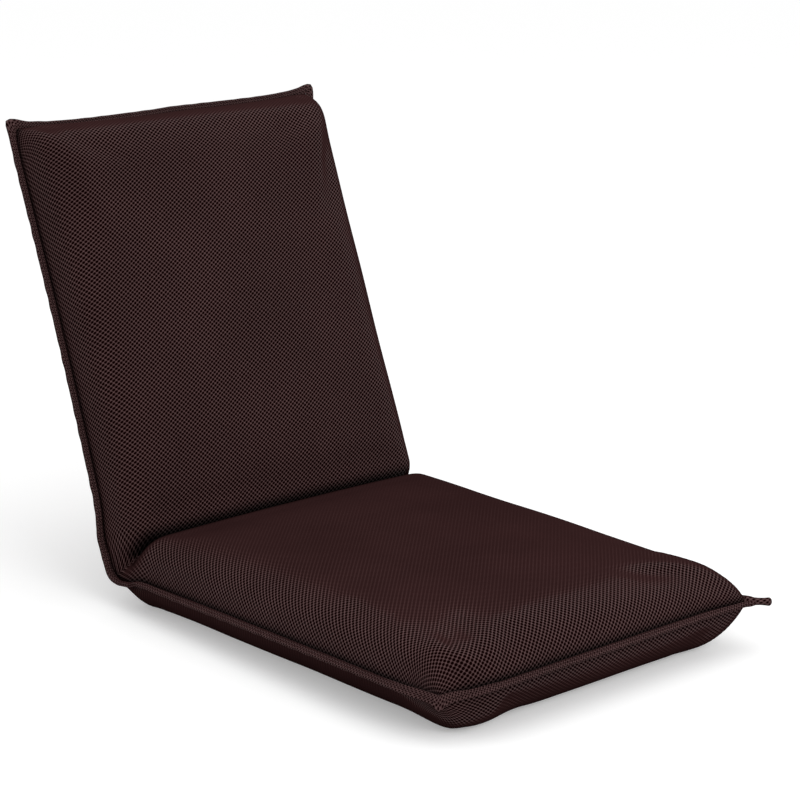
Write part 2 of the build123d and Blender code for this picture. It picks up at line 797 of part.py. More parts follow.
with BuildPart() as hinge_cover:
    add(gusset_solid(hinge_section, 0.0))
    add(gusset_solid(hinge_section_inner, cover_wall), mode=Mode.SUBTRACT)
hinge_cover.part.label = "hinge_cover"
export_step(hinge_cover.part, "parts/hinge_cover.step")

# ---------------------------------------------------------------- seam flanges


def flange(side, seam_at, pad_end, start, end):
    """Sewn lip round three sides of a pad, drawn out to points at its two far corners."""
    with BuildPart() as lip:
        strip = seam_strip(side, seam_at, end)
        extrude(to_extrude=strip, amount=pad_width, both=True)
        ring = flange_outline(side, start, end, flange_width, corner_point)
        extrude(to_extrude=ring, amount=3 * axis_height, both=True, mode=Mode.INTERSECT)
        hole = flange_outline(side, start - flange_width, pad_end, flange_clearance, 0.0)
        extrude(to_extrude=hole, amount=3 * axis_height, both=True, mode=Mode.SUBTRACT)
    return lip.part


with BuildPart() as seat_seam_flange:
    add(flange(seat_side, seat_seam_at, seat_front, flange_start, seat_front))
    # The small nubs left at the front corners where the lip is drawn together.
    for sign in (-1, 1):
        root = (sign * (half_width + corner_point), seat_front + corner_point)
        reach_out = nub_length / sqrt(2)
        tip = (root[0] + sign * reach_out, root[1] + reach_out)
        seam_up = seat_seam_at(seat_front)
        with BuildSketch(over(seat_side, seam_up)):
            with Locations(root, tip):
                Circle(nub_radius)
            make_hull()
        extrude(amount=flange_thickness / 2, both=True)
seat_seam_flange.part.label = "seat_seam_flange"
export_step(seat_seam_flange.part, "parts/seat_seam_flange.step")

with BuildPart() as back_seam_flange:
    add(flange(back_side, back_seam_at, back_pad_end, flange_start, back_pad_end))
back_seam_flange.part.label = "back_seam_flange"
export_step(back_seam_flange.part, "parts/back_seam_flange.step")

# ---------------------------------------------------------------- hinge pieces
cheek_high = cheek_gap_half + cheek_thickness


def round_bar(place, radius, low, high, sign):
    """A round bar across one hinge, between two layers."""
    plane = seat_layer(sign, low, high)
    with BuildPart() as bar:
        with BuildSketch(plane):
            with Locations(place):
                Circle(radius)
        extrude(amount=high - low)
    return bar.part


def rivet(place, radius, head, height, sign):
    """A rivet through both cheeks, with a head on each."""
    with BuildPart() as whole:
        add(round_bar(place, radius, -cheek_high, cheek_high, sign))
        add(round_bar(place, head, cheek_high, cheek_high + height, sign))
        add(round_bar(place, head, -cheek_high - height, -cheek_high, sign))
        chamfer(whole.edges().filter_by(GeomType.CIRCLE).sort_by(Axis.X)[0], height / 3)
        chamfer(whole.edges().filter_by(GeomType.CIRCLE).sort_by(Axis.X)[-1], height / 3)
    return whole.part


post_place = (spring_post_along, spring_post_up)
spring_edge = turned((pawl_pin_along + pawl_boss, pawl_pin_up), pin_place, pawl_lift)
spring_off = spring_wire / 2 + spring_gap

for sign, hand in ((-1, "left"), (1, "right")):
    for name, low in (("inner_cheek", -cheek_high), ("outer_cheek", cheek_gap_half)):
        plane = seat_layer(sign, low, low + cheek_thickness)
        with BuildPart() as cheek:
            extrude(to_extrude=cheek_outline(plane, 0.0), amount=cheek_thickness)
            holes = (
                ((0, 0), pivot_radius), (pin_place, pawl_pin_radius),
                (post_place, spring_post_radius),
            )
            for place, radius in holes:
                add(
                    round_bar(place, radius + pin_clearance, -cheek_high, cheek_high, sign),
                    mode=Mode.SUBTRACT,
                )
            add(rail_holes(seat_side), mode=Mode.SUBTRACT)
        cheek.part.label = f"{hand}_{name}"
        export_step(cheek.part, f"parts/{hand}_{name}.step")

    with BuildPart() as toothed_arm:
        arm_plane = back_layer(sign, arm_low, arm_high)
        thickness = arm_high - arm_low
        extrude(to_extrude=arm_outline(arm_plane, 0.0), amount=thickness)
        extrude(to_extrude=tooth_ring(arm_plane), amount=thickness)
        add(
            round_bar((0, 0), pivot_radius + pin_clearance, -cheek_high, cheek_high, sign),
            mode=Mode.SUBTRACT,
        )
        add(rail_holes(back_side), mode=Mode.SUBTRACT)
    toothed_arm.part.label = f"{hand}_toothed_arm"
    export_step(toothed_arm.part, f"parts/{hand}_toothed_arm.step")

    with BuildPart() as pawl:
        pawl_plane = seat_layer(sign, pawl_low, pawl_high)
        extrude(to_extrude=pawl_outline(pawl_plane, pawl_lift), amount=pawl_high - pawl_low)
    pawl.part.label = f"{hand}_pawl"
    export_step(pawl.part, f"parts/{hand}_pawl.step")

    with BuildPart() as release_disc:
        disc_plane = seat_layer(sign, disc_low, disc_high)
        extrude(to_extrude=disc_outline(disc_plane), amount=disc_high - disc_low)
    release_disc.part.label = f"{hand}_release_disc"
    export_step(release_disc.part, f"parts/{hand}_release_disc.step")

    with BuildPart() as pivot_rivet:
        add(rivet((0, 0), pivot_radius, rivet_head, rivet_head_height, sign))
    pivot_rivet.part.label = f"{hand}_pivot_rivet"
    export_step(pivot_rivet.part, f"parts/{hand}_pivot_rivet.step")

    with BuildPart() as pawl_pin:
        add(rivet(pin_place, pawl_pin_radius, pin_head, pin_head_height, sign))
    pawl_pin.part.label = f"{hand}_pawl_pin"
    export_step(pawl_pin.part, f"parts/{hand}_pawl_pin.step")

    with BuildPart() as spring_post:
        add(round_bar(post_place, spring_post_radius, -cheek_high, cheek_high, sign))
    spring_post.part.label = f"{hand}_spring_post"
    export_step(spring_post.part, f"parts/{hand}_spring_post.step")

    with BuildPart() as pawl_spring:
        middle = seat_layer(sign, 0.0, 0.0)
        past_post = post_place[0] + spring_post_radius + spring_off
        past_pawl = spring_edge[0] + spring_off
        with BuildLine(middle) as wire:
            FilletPolyline(
                (past_post + spring_tail_lean, post_place[1] - spring_tail),
                (past_post, post_place[1]),
                (past_pawl, spring_edge[1] - spring_knee),
                (past_pawl + spring_tip_lean, spring_edge[1] - spring_tip),
                radius=spring_wire,
            )
        with BuildSketch(Plane(origin=wire.line @ 0, z_dir=wire.line % 0)):
            Circle(spring_wire / 2)
        sweep(path=wire.line)
    pawl_spring.part.label = f"{hand}_pawl_spring"
    export_step(pawl_spring.part, f"parts/{hand}_pawl_spring.step")


def rail_rivets(side):
    """Rivets across both side rails, through what is let into them."""
    with BuildPart() as rivets:
        for sign in (-1, 1):
            for along in rail_rivet_places():
                centre = side.from_local_coords(Vector(along, -rail_drop, 0))
                shank = Plane(
                    origin=(sign * rail_x - tube_radius, centre.Y, centre.Z), z_dir=(1, 0, 0)
                )
                with BuildSketch(shank):
                    Circle(rail_rivet_radius)
                extrude(amount=tube_diameter)
                for end in (-1, 1):
                    x = sign * rail_x + end * tube_radius
                    with BuildSketch(Plane(origin=(x, centre.Y, centre.Z), z_dir=(end, 0, 0))):
                        Circle(rail_rivet_head)
                    extrude(amount=rail_rivet_dome, taper=rail_rivet_taper)
    return rivets.part


with BuildPart() as seat_arm_rivets:
    add(rail_rivets(seat_side))
seat_arm_rivets.part.label = "seat_arm_rivets"
export_step(seat_arm_rivets.part, "parts/seat_arm_rivets.step")

with BuildPart() as back_arm_rivets:
    add(rail_rivets(back_side))
back_arm_rivets.part.label = "back_arm_rivets"
export_step(back_arm_rivets.part, "parts/back_arm_rivets.step")
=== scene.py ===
"""A folding floor chair: a seat pad and a backrest pad in one air mesh cover, seamed all round."""

import json
import math
from collections import namedtuple

import bpy
import numpy as np
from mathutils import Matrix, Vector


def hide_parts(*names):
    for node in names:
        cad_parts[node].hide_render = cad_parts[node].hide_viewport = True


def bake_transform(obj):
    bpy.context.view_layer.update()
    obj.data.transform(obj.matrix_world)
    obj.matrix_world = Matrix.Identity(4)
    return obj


bl_info = {
    "name": "Folding Floor Chair",
    "version": (1, 0, 0),
    "blender": (4, 5, 0),
    "location": "View3D > Sidebar > Floor Chair",
    "description": "Builds the sewn cover, seam and finishes of a folding floor chair",
    "category": "Object",
}

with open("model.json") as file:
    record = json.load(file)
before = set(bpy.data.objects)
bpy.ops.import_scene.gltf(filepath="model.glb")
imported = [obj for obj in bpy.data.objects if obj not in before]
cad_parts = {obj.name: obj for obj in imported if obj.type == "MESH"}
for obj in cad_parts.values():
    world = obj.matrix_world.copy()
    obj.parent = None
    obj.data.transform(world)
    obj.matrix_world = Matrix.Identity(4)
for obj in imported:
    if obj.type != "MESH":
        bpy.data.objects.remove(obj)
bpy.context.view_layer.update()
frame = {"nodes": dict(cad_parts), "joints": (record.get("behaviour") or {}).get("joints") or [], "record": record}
recline = next(joint for joint in frame["joints"] if joint["name"] == "recline")
hinge_x, hinge_y, hinge_z = recline["pos_m"]
HUB = np.array([hinge_y, hinge_z])


# ------------------------------------------------------------------ sizes and colours
def metres(name, description, default):
    return bpy.props.FloatProperty(
        name=name, description=description, default=default, unit="LENGTH")


def degrees(name, description, default):
    return bpy.props.FloatProperty(
        name=name, description=description, default=math.radians(default), unit="ROTATION")


def tint(name, description, *default):
    return bpy.props.FloatVectorProperty(
        name=name, description=description, default=(*default, 1), min=0, max=1, size=4,
        subtype="COLOR")


class ChairSizes(bpy.types.PropertyGroup):
    """Sizes of the chair's sewn cover"""

    half_width: metres("Half Width", "Middle to side seam at the corners", 0.204)
    side_draw_in: metres(
        "Side Draw-in", "How far the side seams pull in between the corners", 0.002)
    top_narrowing: metres(
        "Top Narrowing", "How much nearer the middle each top corner lies", 0.002)
    seat_front: metres("Seat Front", "Hinge axis to the front seam", 0.505)
    seat_crown: metres("Seat Crown", "Seat's top above the hinge axis", 0.0365)
    seat_swelling: metres("Seat Swelling", "How much thicker the seat is at its front", 0.0045)
    seat_shoulder: metres("Seat Shoulder", "Side seam in to where the seat's top flattens", 0.036)
    seat_foot: metres("Seat Foot", "Side seam in to where the underside meets the floor", 0.019)
    front_foot: metres("Front Foot", "The same distance at the seat's front corners", 0.040)
    seat_nose: metres("Seat Nose", "Length of the seat's rounded front", 0.044)
    under_nose: metres(
        "Under Nose", "Length of the rounded edges below and behind the seam", 0.034)
    corner_tuck: metres("Corner Tuck", "How far the seat's front left corner is drawn in", 0.022)
    corner_ear: metres("Corner Ear", "How far the seat's front right corner is pulled out", 0.011)
    top_slant: metres("Top Slant", "How much lower the backrest's top left corner lies", 0.0035)
    back_top: metres("Backrest Top", "Hinge axis to the top corners along the backrest", 0.489)
    back_hollow: metres(
        "Top Hollow", "How far the top seam's middle lies below its corners", 0.008)
    back_crown: metres("Backrest Crown", "Backrest's front above the hinge axis", 0.0285)
    back_swelling: metres(
        "Backrest Swelling", "How much thicker the backrest is at its top", 0.0115)
    back_shoulder: metres(
        "Backrest Shoulder", "Side seam in to where the backrest's front flattens", 0.023)
    back_foot: metres(
        "Backrest Rear Edge", "Side seam in to where the rear panel flattens", 0.044)
    back_nose: metres("Backrest Nose", "Length of the backrest's rounded top", 0.033)
    flat_depth: metres("Underside Depth", "Hinge axis to the undersides of both pads", 0.050)
    crown_drop: metres("Crown Drop", "Middle of a pad's face above its shoulders", 0.002)
    swell: metres("Swell", "How far the filling may push the cover out", 0.006)
    lip_width: metres("Lip Width", "Width of the sewn lip outside the seam", 0.0074)
    lip_thickness: metres("Lip Thickness", "Both layers of the sewn lip together", 0.0046)
    corner_point: metres("Corner Point", "How far the lip draws out at the corners", 0.005)
    lip_ripple: metres("Lip Ripple", "How far the lip's edge waves up and down", 0.0009)
    nub_length: metres("Nub Length", "Length of the clubbed end at the front corner", 0.022)
    nub_radius: metres("Nub Radius", "Half the thickness of the clubbed end", 0.0050)
    near_step: metres("Near Step", "Spacing of the mesh's holes along their close rows", 0.00328)
    far_step: metres("Far Step", "Spacing of the mesh's holes along their open rows", 0.00422)
    near_angle: degrees("Near Row Angle", "Direction of the close rows over the cloth", -44.7)
    far_angle: degrees("Far Row Angle", "Direction of the open rows over the cloth", 35.8)
    seat_step: metres(
        "Seat Step", "Spacing of the mesh's holes along their rows on the seat", 0.00368)
    seat_angle: degrees("Seat Row Angle", "Direction of the hole rows over the seat's cloth", 45)
    hole_size: bpy.props.FloatProperty(
        name="Hole Size", description="Half a hole's width as a share of the steps",
        default=0.30, subtype="FACTOR")


class ChairColours(bpy.types.PropertyGroup):
    """Colours of the chair's cloth and metal"""

    yarn: tint("Yarn", "Crests of the air mesh's yarns", 0.130, 0.071, 0.070)
    # Painted shade: the yarns' sides are darker than their crests.
    yarn_side_shade: tint("Yarn Side", "Sides of the air mesh's yarns", 0.030, 0.0098, 0.0098)
    # The holes' near-black tone: partly the mesh's inner layer, partly painted shade inside the holes.
    hollow: tint("Hollow", "Inside the holes of the air mesh", 0.0042, 0.0001, 0.0001)
    edge_on: tint("Edge-on", "Air mesh seen along its face", 0.0325, 0.0135, 0.0135)
    webbing: tint("Webbing", "Elastic bands", 0.02, 0.02, 0.021)
    powder: tint("Powder Coat", "Bent tubes", 0.03, 0.03, 0.032)
    zinc: tint("Zinc", "Plated hinge plates and rivets", 0.52, 0.53, 0.54)
    spring: tint("Spring Wire", "Pawl springs", 0.16, 0.16, 0.165)
    floor: tint("Floor", "Studio floor", 0.90, 0.90, 0.90)
    floor_bounce: tint(
        "Floor Bounce", "Studio floor as it lights the chair from below", 0.42, 0.42, 0.42)


def sizes():
    return bpy.context.scene.chair_sizes


def colours():
    return bpy.context.scene.chair_colours


# ------------------------------------------------------------------ modelling helpers
MERGE_WITHIN = 0.00002
TINY = 1e-9  # keeps a division from its zero


def deselect_all():
    if bpy.context.object and bpy.context.object.mode != "OBJECT":
        bpy.ops.object.mode_set(mode="OBJECT")
    bpy.ops.object.select_all(action="DESELECT")


def pick(thing):
    """Makes one object the only selected one, and active."""
    deselect_all()
    thing.select_set(True)
    bpy.context.view_layer.objects.active = thing


def named(name):
    """Names the object that was made last."""
    thing = bpy.context.object
    thing.name = name
    thing.data.name = name
    return thing


def points_of(thing):
    flat = np.empty(len(thing.data.vertices) * 3)
    thing.data.vertices.foreach_get("co", flat)
    return flat.reshape(-1, 3)


def move_points(thing, points):
    thing.data.vertices.foreach_set("co", np.asarray(points, float).ravel())
    thing.data.update()


def edit_all(thing, *steps):
    """Takes edit mode steps on the whole mesh of one object."""
    pick(thing)
    bpy.ops.object.mode_set(mode="EDIT")
    bpy.ops.mesh.select_all(action="SELECT")
    for step in steps:
        step()
    bpy.ops.object.mode_set(mode="OBJECT")


def merge_doubles():
    bpy.ops.mesh.remove_doubles(threshold=MERGE_WITHIN)


def face_outward(thing):
    """Turns every face of one closed piece to the outside, by the sign of its volume."""
    edit_all(thing, bpy.ops.mesh.normals_make_consistent)
    thing.data.calc_loop_triangles()
    points = points_of(thing)
    a, b, c = (points[[t.vertices[k] for t in thing.data.loop_triangles]] for k in range(3))
    if np.einsum("ij,ij->", a, np.cross(b, c)) < 0:
        edit_all(thing, bpy.ops.mesh.flip_normals)


def join(first, second):
    """Makes one object of two."""
    pick(first)
    second.select_set(True)
    bpy.ops.object.join()


def subdivided_smooth(thing):
    """Finishes a piece with one applied subdivision and smooth shading."""
    pick(thing)
    modifier = thing.modifiers.new("Subdivision", "SUBSURF")
    modifier.levels = modifier.render_levels = 1
    bpy.ops.object.modifier_apply(modifier=modifier.name)
    bpy.ops.object.shade_smooth()


def cloth_grid(name, columns, lines):
    """A flat grid of cloth, with the column and the line of each of its points."""
    deselect_all()
    bpy.ops.mesh.primitive_grid_add(
        x_subdivisions=columns, y_subdivisions=lines, size=2, calc_uvs=True)
    grid = named(name)
    grid.data.uv_layers[0].name = "cloth"
    share = (points_of(grid) + 1) / 2
    column = np.rint(share[:, 0] * columns).astype(int)
    line = np.rint(share[:, 1] * lines).astype(int)
    return grid, column, line


def fading(distance, spread):
    """1 where there is no distance, and next to nothing past twice the spread."""
    return np.exp(-(distance / spread) ** 2)


# ------------------------------------------------------------------ side views of the pads
REST_ANGLE = math.radians(112.5)
BACK_TILT = math.pi - REST_ANGLE
# Each pad's way along itself and its way out of its face, seen from the side.
SEAT_WAY = (np.array([-1.0, 0.0]), np.array([0.0, 1.0]))
BACK_WAY = (
    np.array([math.cos(BACK_TILT), math.sin(BACK_TILT)]),
    np.array([-math.sin(BACK_TILT), math.cos(BACK_TILT)]),
)
CREASE_REACH = 0.025  # hinge axis to the bottom of the crease
CREASE_ROUND = 0.032
SEAT_SEAM_REAR = -0.014
SEAT_SEAM_RISE = 0.014
SEAT_SEAM_FROM, SEAT_SEAM_RUN = 0.004, 0.514
SEAM_NOSE = 0.045  # seam beside a pad's rounded end
HINGE_CORNER = (0.280, 0.014)  # where the side seams would meet, were they not rounded
HINGE_TURN = (0.030, 0.010)  # where that rounding starts on the seat and ends on the backrest
BACK_SEAM_FROM, BACK_SEAM_RUN = 0.017, 0.506
BACK_SEAM_FOOT = -0.0245
BACK_SEAM_LEAN = 0.0165
BACK_SEAM_BOW = 0.0026
BACK_SEAM_SLACK = 0.009
SLACK_AT, SLACK_SPREAD = 0.028, 0.026
BACK_SEAM_TIP = 0.009
TIP_SHARPNESS = 40
GUSSET_FOOT = (-0.0447, -0.0228)
GUSSET_TOP = 0.0636
GUSSET_TURN = (0.016, -0.014)  # where the underside's rounding starts and ends
GUSSET_SOFTNESS = 0.006
RUN_ON = 0.001  # from the end of a rounding to the next run's first point
FULLNESS = 0.70

# Lines of the cover along each run of its length.
NOSE_STEPS, SEAT_STEPS, BACK_STEPS = 10, 44, 43
SEAT_ARC, BACK_ARC = 9, 7
CREASE_ROW = NOSE_STEPS + SEAT_STEPS + SEAT_ARC


def on_seat(along, up):
    """Side-view place (y, z) of a point given along the seat and out of its face."""
    return HUB + along * SEAT_WAY[0] + up * SEAT_WAY[1]


def on_back(along, up):
    return HUB + along * BACK_WAY[0] + up * BACK_WAY[1]


def seat_seam(along):
    return SEAT_SEAM_REAR + SEAT_SEAM_RISE * (along + SEAT_SEAM_FROM) / SEAT_SEAM_RUN


def back_seam(along):
    """The side seam leans forward toward the top, sags near the hinge and lifts at its tip."""
    share = min(1.0, max(0.0, (along + BACK_SEAM_FROM) / BACK_SEAM_RUN))
    slack = BACK_SEAM_SLACK * fading(along - SLACK_AT, SLACK_SPREAD)
    return (BACK_SEAM_FOOT + BACK_SEAM_LEAN * share + BACK_SEAM_BOW * math.sin(math.pi * share)
            - slack + BACK_SEAM_TIP * share ** TIP_SHARPNESS)


def back_rear(along):
    """The backrest's rear panel: it leans in toward the seat's underside near the hinge."""
    foot_along, foot_up = GUSSET_FOOT
    flat = -sizes().flat_depth
    share = (along - foot_along) / (GUSSET_TOP - foot_along)
    line = foot_up + share * (flat - foot_up)
    # A soft maximum, so that the panel bends where the two runs meet.
    return (line + flat + math.sqrt((line - flat) ** 2 + GUSSET_SOFTNESS ** 2)) / 2


def half_width_at(along, end):
    """Half the width between the side seams, which pull in between the corners."""
    share = min(1.0, abs((along - end / 2) / (end / 2)))
    return sizes().half_width - sizes().side_draw_in * (1 - share * share)


def evenly(path, count):
    """Points spread evenly along a path, one more than 'count'."""
    path = np.array(path, float)
    reach = np.concatenate([[0], np.cumsum(np.linalg.norm(np.diff(path, axis=0), axis=1))])
    marks = np.linspace(0, reach[-1], count + 1)
    return np.stack([np.interp(marks, reach, path[:, k]) for k in range(path.shape[1])], axis=1)


def rounded_corner(before, corner, after):
    a, b, c = (np.asarray(p, float) for p in (before, corner, after))
    return [(1 - t) ** 2 * a + 2 * t * (1 - t) * b + t ** 2 * c for t in np.linspace(0, 1, 25)]


def full_edge(first, corner, last):
    """A rounded edge round a corner, fuller than a quarter of an ellipse."""
    a, b, c = (np.asarray(p, float) for p in (first, corner, last))
    middle = a + c - b
    return [middle + (b - c) * math.cos(turn) ** FULLNESS + (b - a) * math.sin(turn) ** FULLNESS
            for turn in np.linspace(0, math.pi / 2, 41)]


def crest(crown, on_pad):
    """Where the rounded edge of a pad's face begins, and that edge down to the crease."""
    apex = (CREASE_REACH * math.cos(REST_ANGLE / 2), CREASE_REACH * math.sin(REST_ANGLE / 2))
    rise = crown - apex[1]
    centre = apex[0] + math.sqrt(2 * CREASE_ROUND * rise - rise ** 2)
    lean = math.atan2(apex[1] - crown + CREASE_ROUND, apex[0] - centre)
    edge = [on_pad(centre + CREASE_ROUND * math.cos(turn),
                   crown - CREASE_ROUND + CREASE_ROUND * math.sin(turn))
            for turn in np.linspace(math.pi / 2, lean, 25)]
    return centre, edge


def back_run(line, first, last):
    """Points of one of the backrest's lines, which gives its height at each place along."""
    return [on_back(along, line(along)) for along in np.linspace(first, last, 60)]


def seat_seam_at(along):
    return on_seat(along, seat_seam(along))


def side_lines():
    """The seam's, the faces' and the undersides' lines, from the front seam to the top."""
    s = sizes()
    flat, turns = -s.flat_depth, SEAT_ARC + BACK_ARC
    front, end = s.seat_front, s.back_top - s.back_hollow
    seat_high = s.seat_crown + s.seat_swelling
    back_high = s.back_crown + s.back_swelling
    seat_from, seat_edge = crest(s.seat_crown, on_seat)
    back_from, back_edge = crest(s.back_crown, on_back)
    tip, top = seat_seam_at(front), on_back(end, back_seam(end))
    seams = [
        evenly([tip, seat_seam_at(front - SEAM_NOSE)], NOSE_STEPS),
        evenly([seat_seam_at(front - SEAM_NOSE), seat_seam_at(seat_from)], SEAT_STEPS),
        evenly([seat_seam_at(seat_from)]
               + rounded_corner(seat_seam_at(HINGE_TURN[0]), HINGE_CORNER,
                                on_back(HINGE_TURN[1], back_seam(HINGE_TURN[1])))
               + back_run(back_seam, HINGE_TURN[1] + RUN_ON, back_from), turns),
        evenly(back_run(back_seam, back_from, end - SEAM_NOSE), BACK_STEPS),
        evenly(back_run(back_seam, end - SEAM_NOSE, end), NOSE_STEPS)]
    faces = [
        evenly(full_edge(tip, on_seat(front, seat_high), on_seat(front - s.seat_nose, seat_high)),
               NOSE_STEPS),
        evenly([on_seat(front - s.seat_nose, seat_high), on_seat(seat_from, s.seat_crown)],
               SEAT_STEPS),
        evenly(seat_edge, SEAT_ARC),
        evenly(back_edge[::-1], BACK_ARC),
        evenly([on_back(back_from, s.back_crown), on_back(end - s.back_nose, back_high)],
               BACK_STEPS),
        evenly(full_edge(on_back(end - s.back_nose, back_high), on_back(end, back_high), top),
               NOSE_STEPS)]
    unders = [
        evenly(full_edge(tip, on_seat(front, flat), on_seat(front - s.under_nose, flat)),
               NOSE_STEPS),
        evenly([on_seat(front - s.under_nose, flat), on_seat(seat_from, flat)], SEAT_STEPS),
        evenly([on_seat(seat_from, flat)]
               + rounded_corner(on_seat(GUSSET_TURN[0], flat), on_back(*GUSSET_FOOT),
                                on_back(GUSSET_TURN[1], back_rear(GUSSET_TURN[1])))
               + back_run(back_rear, GUSSET_TURN[1] + RUN_ON, back_from), turns),
        evenly(back_run(back_rear, back_from, end - s.under_nose), BACK_STEPS),
        evenly(full_edge(on_back(end - s.under_nose, flat), on_back(end, flat), top),
               NOSE_STEPS)]
    return [np.concatenate([run[:-1] for run in runs] + [runs[-1][-1:]])
            for runs in (seams, faces, unders)]


# ------------------------------------------------------------------ lines across the cover
# One line across the chair: its seam point and both panels' middles, seen from the side, then
# the sizes of its edges.
Row = namedtuple("Row", "seam face under half shoulder foot taper bow pinch")

COLUMNS = 56
BELLY_ROWS = 16  # lines at the front over which the underside swells out
SIDE_TAPER, BELLY_FULLER, BACK_FULLER = 1.5, 0.95, 0.7
PINCH_INSET = 0.026
PINCH_SINK = 0.8
MOST_CROWN = 0.1
SEAT_BELOW = 0.11  # height under which, off the hinge, all is the seat
TUCK_SPREAD = 0.040
TUCK_FROM, TUCK_RISE = 0.012, 0.028  # the belly ends at the first, the full tuck is above both
TUCK_INWARD, TUCK_REARWARD = 0.55, 0.75  # shares of the tuck
TUCK_DROP = 0.005
BELLY_LIFT = (0.006, 0.006, 0.009)
EAR_SPREAD = 0.030
EAR_OUTWARD, EAR_FORWARD = 0.72, 0.70  # shares of the ear
EAR_THINNING, EAR_THIN_SPREAD = 0.28, 0.026


def cover_rows():
    """The cover's lines from the seat's front seam, through the crease, to the backrest's top."""
    s = sizes()
    seam, face, under = side_lines()
    last = len(seam) - 1
    rows = []
    for index in range(last + 1):
        past = index - CREASE_ROW
        if past <= 0:
            half = half_width_at(hinge_y - seam[index][0], s.seat_front)
        else:
            half = half_width_at(float((seam[index] - HUB) @ BACK_WAY[0]), s.back_top)
            half -= s.top_narrowing * (past / (last - CREASE_ROW))
        # Below the seat's seam the side slopes in, the more so toward the front, where the
        # first rows swell out into the front's belly.
        share = min(1.0, max(0.0, past / BACK_ARC))
        front_share = max(0.0, -past / CREASE_ROW)
        belly = max(0.0, 1 - index / BELLY_ROWS) ** 1.2
        foot = s.seat_foot + (s.front_foot - s.seat_foot) * front_share
        rows.append(Row(
            seam[index], face[index], under[index], half,
            shoulder=s.seat_shoulder + (s.back_shoulder - s.seat_shoulder) * share,
            foot=foot + (s.back_foot - foot) * share,
            taper=SIDE_TAPER - BELLY_FULLER * belly - BACK_FULLER * share,
            bow=max(0.0, 1 - (last - index) / NOSE_STEPS) ** 2,
            pinch=max(0.0, 1 - (past / BACK_ARC if past > 0 else -past / SEAT_ARC)) ** 3))
    return rows


def row_line(row, face):
    """The points of one row, spread evenly from the left seam to the right one."""
    s = sizes()
    pinch = row.pinch if face else 0.0
    inset = row.shoulder + PINCH_INSET * pinch if face else row.foot
    goal = row.face if face else row.under
    run = max(float(np.linalg.norm(goal - row.seam)), TINY)
    shoulder = 1 - min(MOST_CROWN, s.crown_drop / run) if face else 1.0
    turn = np.linspace(0, math.pi / 2, 33)
    rounding = FULLNESS + (1 - FULLNESS) * pinch if face else row.taper
    edge = row.half - inset * (1 - np.cos(turn).clip(0) ** rounding)
    wall = shoulder * np.sin(turn) ** (rounding + PINCH_SINK * pinch)
    inner = np.linspace(1, 0, 21)[1:]
    x = np.concatenate([edge, inner * (row.half - inset)])
    rise = np.concatenate([wall, shoulder + (1 - shoulder) * (1 - inner ** 2)])
    x, rise = evenly(np.stack([x, rise * run], axis=1), COLUMNS // 2).T
    x = np.concatenate([-x, x[-2::-1]])
    rise = np.concatenate([rise, rise[-2::-1]]) / run
    side = row.seam + np.outer(rise, goal - row.seam)
    # The top seam is hollow between its corners, and lower at its left one.
    tips = s.back_hollow * (np.abs(x) / s.half_width) ** 6
    tips -= s.top_slant * np.clip(-x / s.half_width, 0, 1) ** 0.5
    side += np.outer(row.bow * tips, BACK_WAY[0])
    return drawn_out(tucked(np.column_stack([x, side])))


def from_front_corner(points, side):
    """Distances in plan from the seat's front corner, the left for side -1 and the right for 1."""
    corner = (side * sizes().half_width, hinge_y - sizes().seat_front)
    return np.linalg.norm(points[:, :2] - corner, axis=1)


def tucked(points):
    """The seat's front left corner, drawn in under itself above a belly that stays full."""
    tuck = sizes().corner_tuck
    near = fading(from_front_corner(points, -1), TUCK_SPREAD)
    level = np.clip((points[:, 2] - TUCK_FROM) / TUCK_RISE, 0, 1)
    level = level * level * (3 - 2 * level)
    return (points
            + np.outer(near * level, (TUCK_INWARD * tuck, TUCK_REARWARD * tuck, -TUCK_DROP))
            + np.outer(near * (1 - level), BELLY_LIFT))


def drawn_out(points):
    """The seat's front right corner, pulled out to a thin ear that ends in its nub."""
    ear = sizes().corner_ear
    apart = from_front_corner(points, 1)
    over = points[:, 2] - hinge_z - seat_seam(sizes().seat_front)
    thin = np.where(over > 0, EAR_THINNING, 0.0) * fading(apart, EAR_THIN_SPREAD)
    way = (EAR_OUTWARD * ear, -EAR_FORWARD * ear, 0)
    moved = points + np.outer(fading(apart, EAR_SPREAD), way)
    moved[:, 2] -= thin * over * (points[:, 2] < SEAT_BELOW)
    return moved


# ------------------------------------------------------------------ sewing the cover
def run_length(spots):
    """Length along the first axis of a grid of points, from its first line."""
    steps = np.linalg.norm(np.diff(spots, axis=0), axis=2)
    return np.concatenate([np.zeros((1, spots.shape[1])), np.cumsum(steps, axis=0)])


def panel(name, rows, face):
    """One side of the cover, sewn from a flat grid: its own lines laid over the pads."""
    grid, column, line = cloth_grid(name, COLUMNS, len(rows) - 1)
    spots = np.array([row_line(row, face) for row in rows])
    move_points(grid, spots[line, column])

    # The cloth's own coordinates, in metres: lengths along the middle, and how far each point
    # lies across from it.
    middle = COLUMNS // 2
    across = run_length(spots.transpose(1, 0, 2)).T
    across -= across[:, middle:middle + 1]
    lengths = run_length(spots)[:, middle]
    lay = seat_knit()
    uv = grid.data.uv_layers["cloth"].data
    for patch in grid.data.polygons:
        corners = [(i, grid.data.loops[i].vertex_index) for i in patch.loop_indices]
        on_the_seat = face and max(line[v] for _, v in corners) <= CREASE_ROW
        for i, v in corners:
            place = (across[line[v], column[v]], lengths[line[v]])
            uv[i].uv = lay @ place if on_the_seat else place
    return grid


def seat_knit():
    """Turns places on the seat's cloth, whose knit lies squarer, into the backrest's knit."""
    s = sizes()
    seat, back = (
        np.array([[step * math.cos(angle), step * math.sin(angle)] for step, angle in rows]).T
        for rows in (
            ((s.seat_step, -s.seat_angle), (s.seat_step, s.seat_angle)),
            ((s.near_step, s.near_angle), (s.far_step, s.far_angle))))
    return back @ np.linalg.inv(seat)


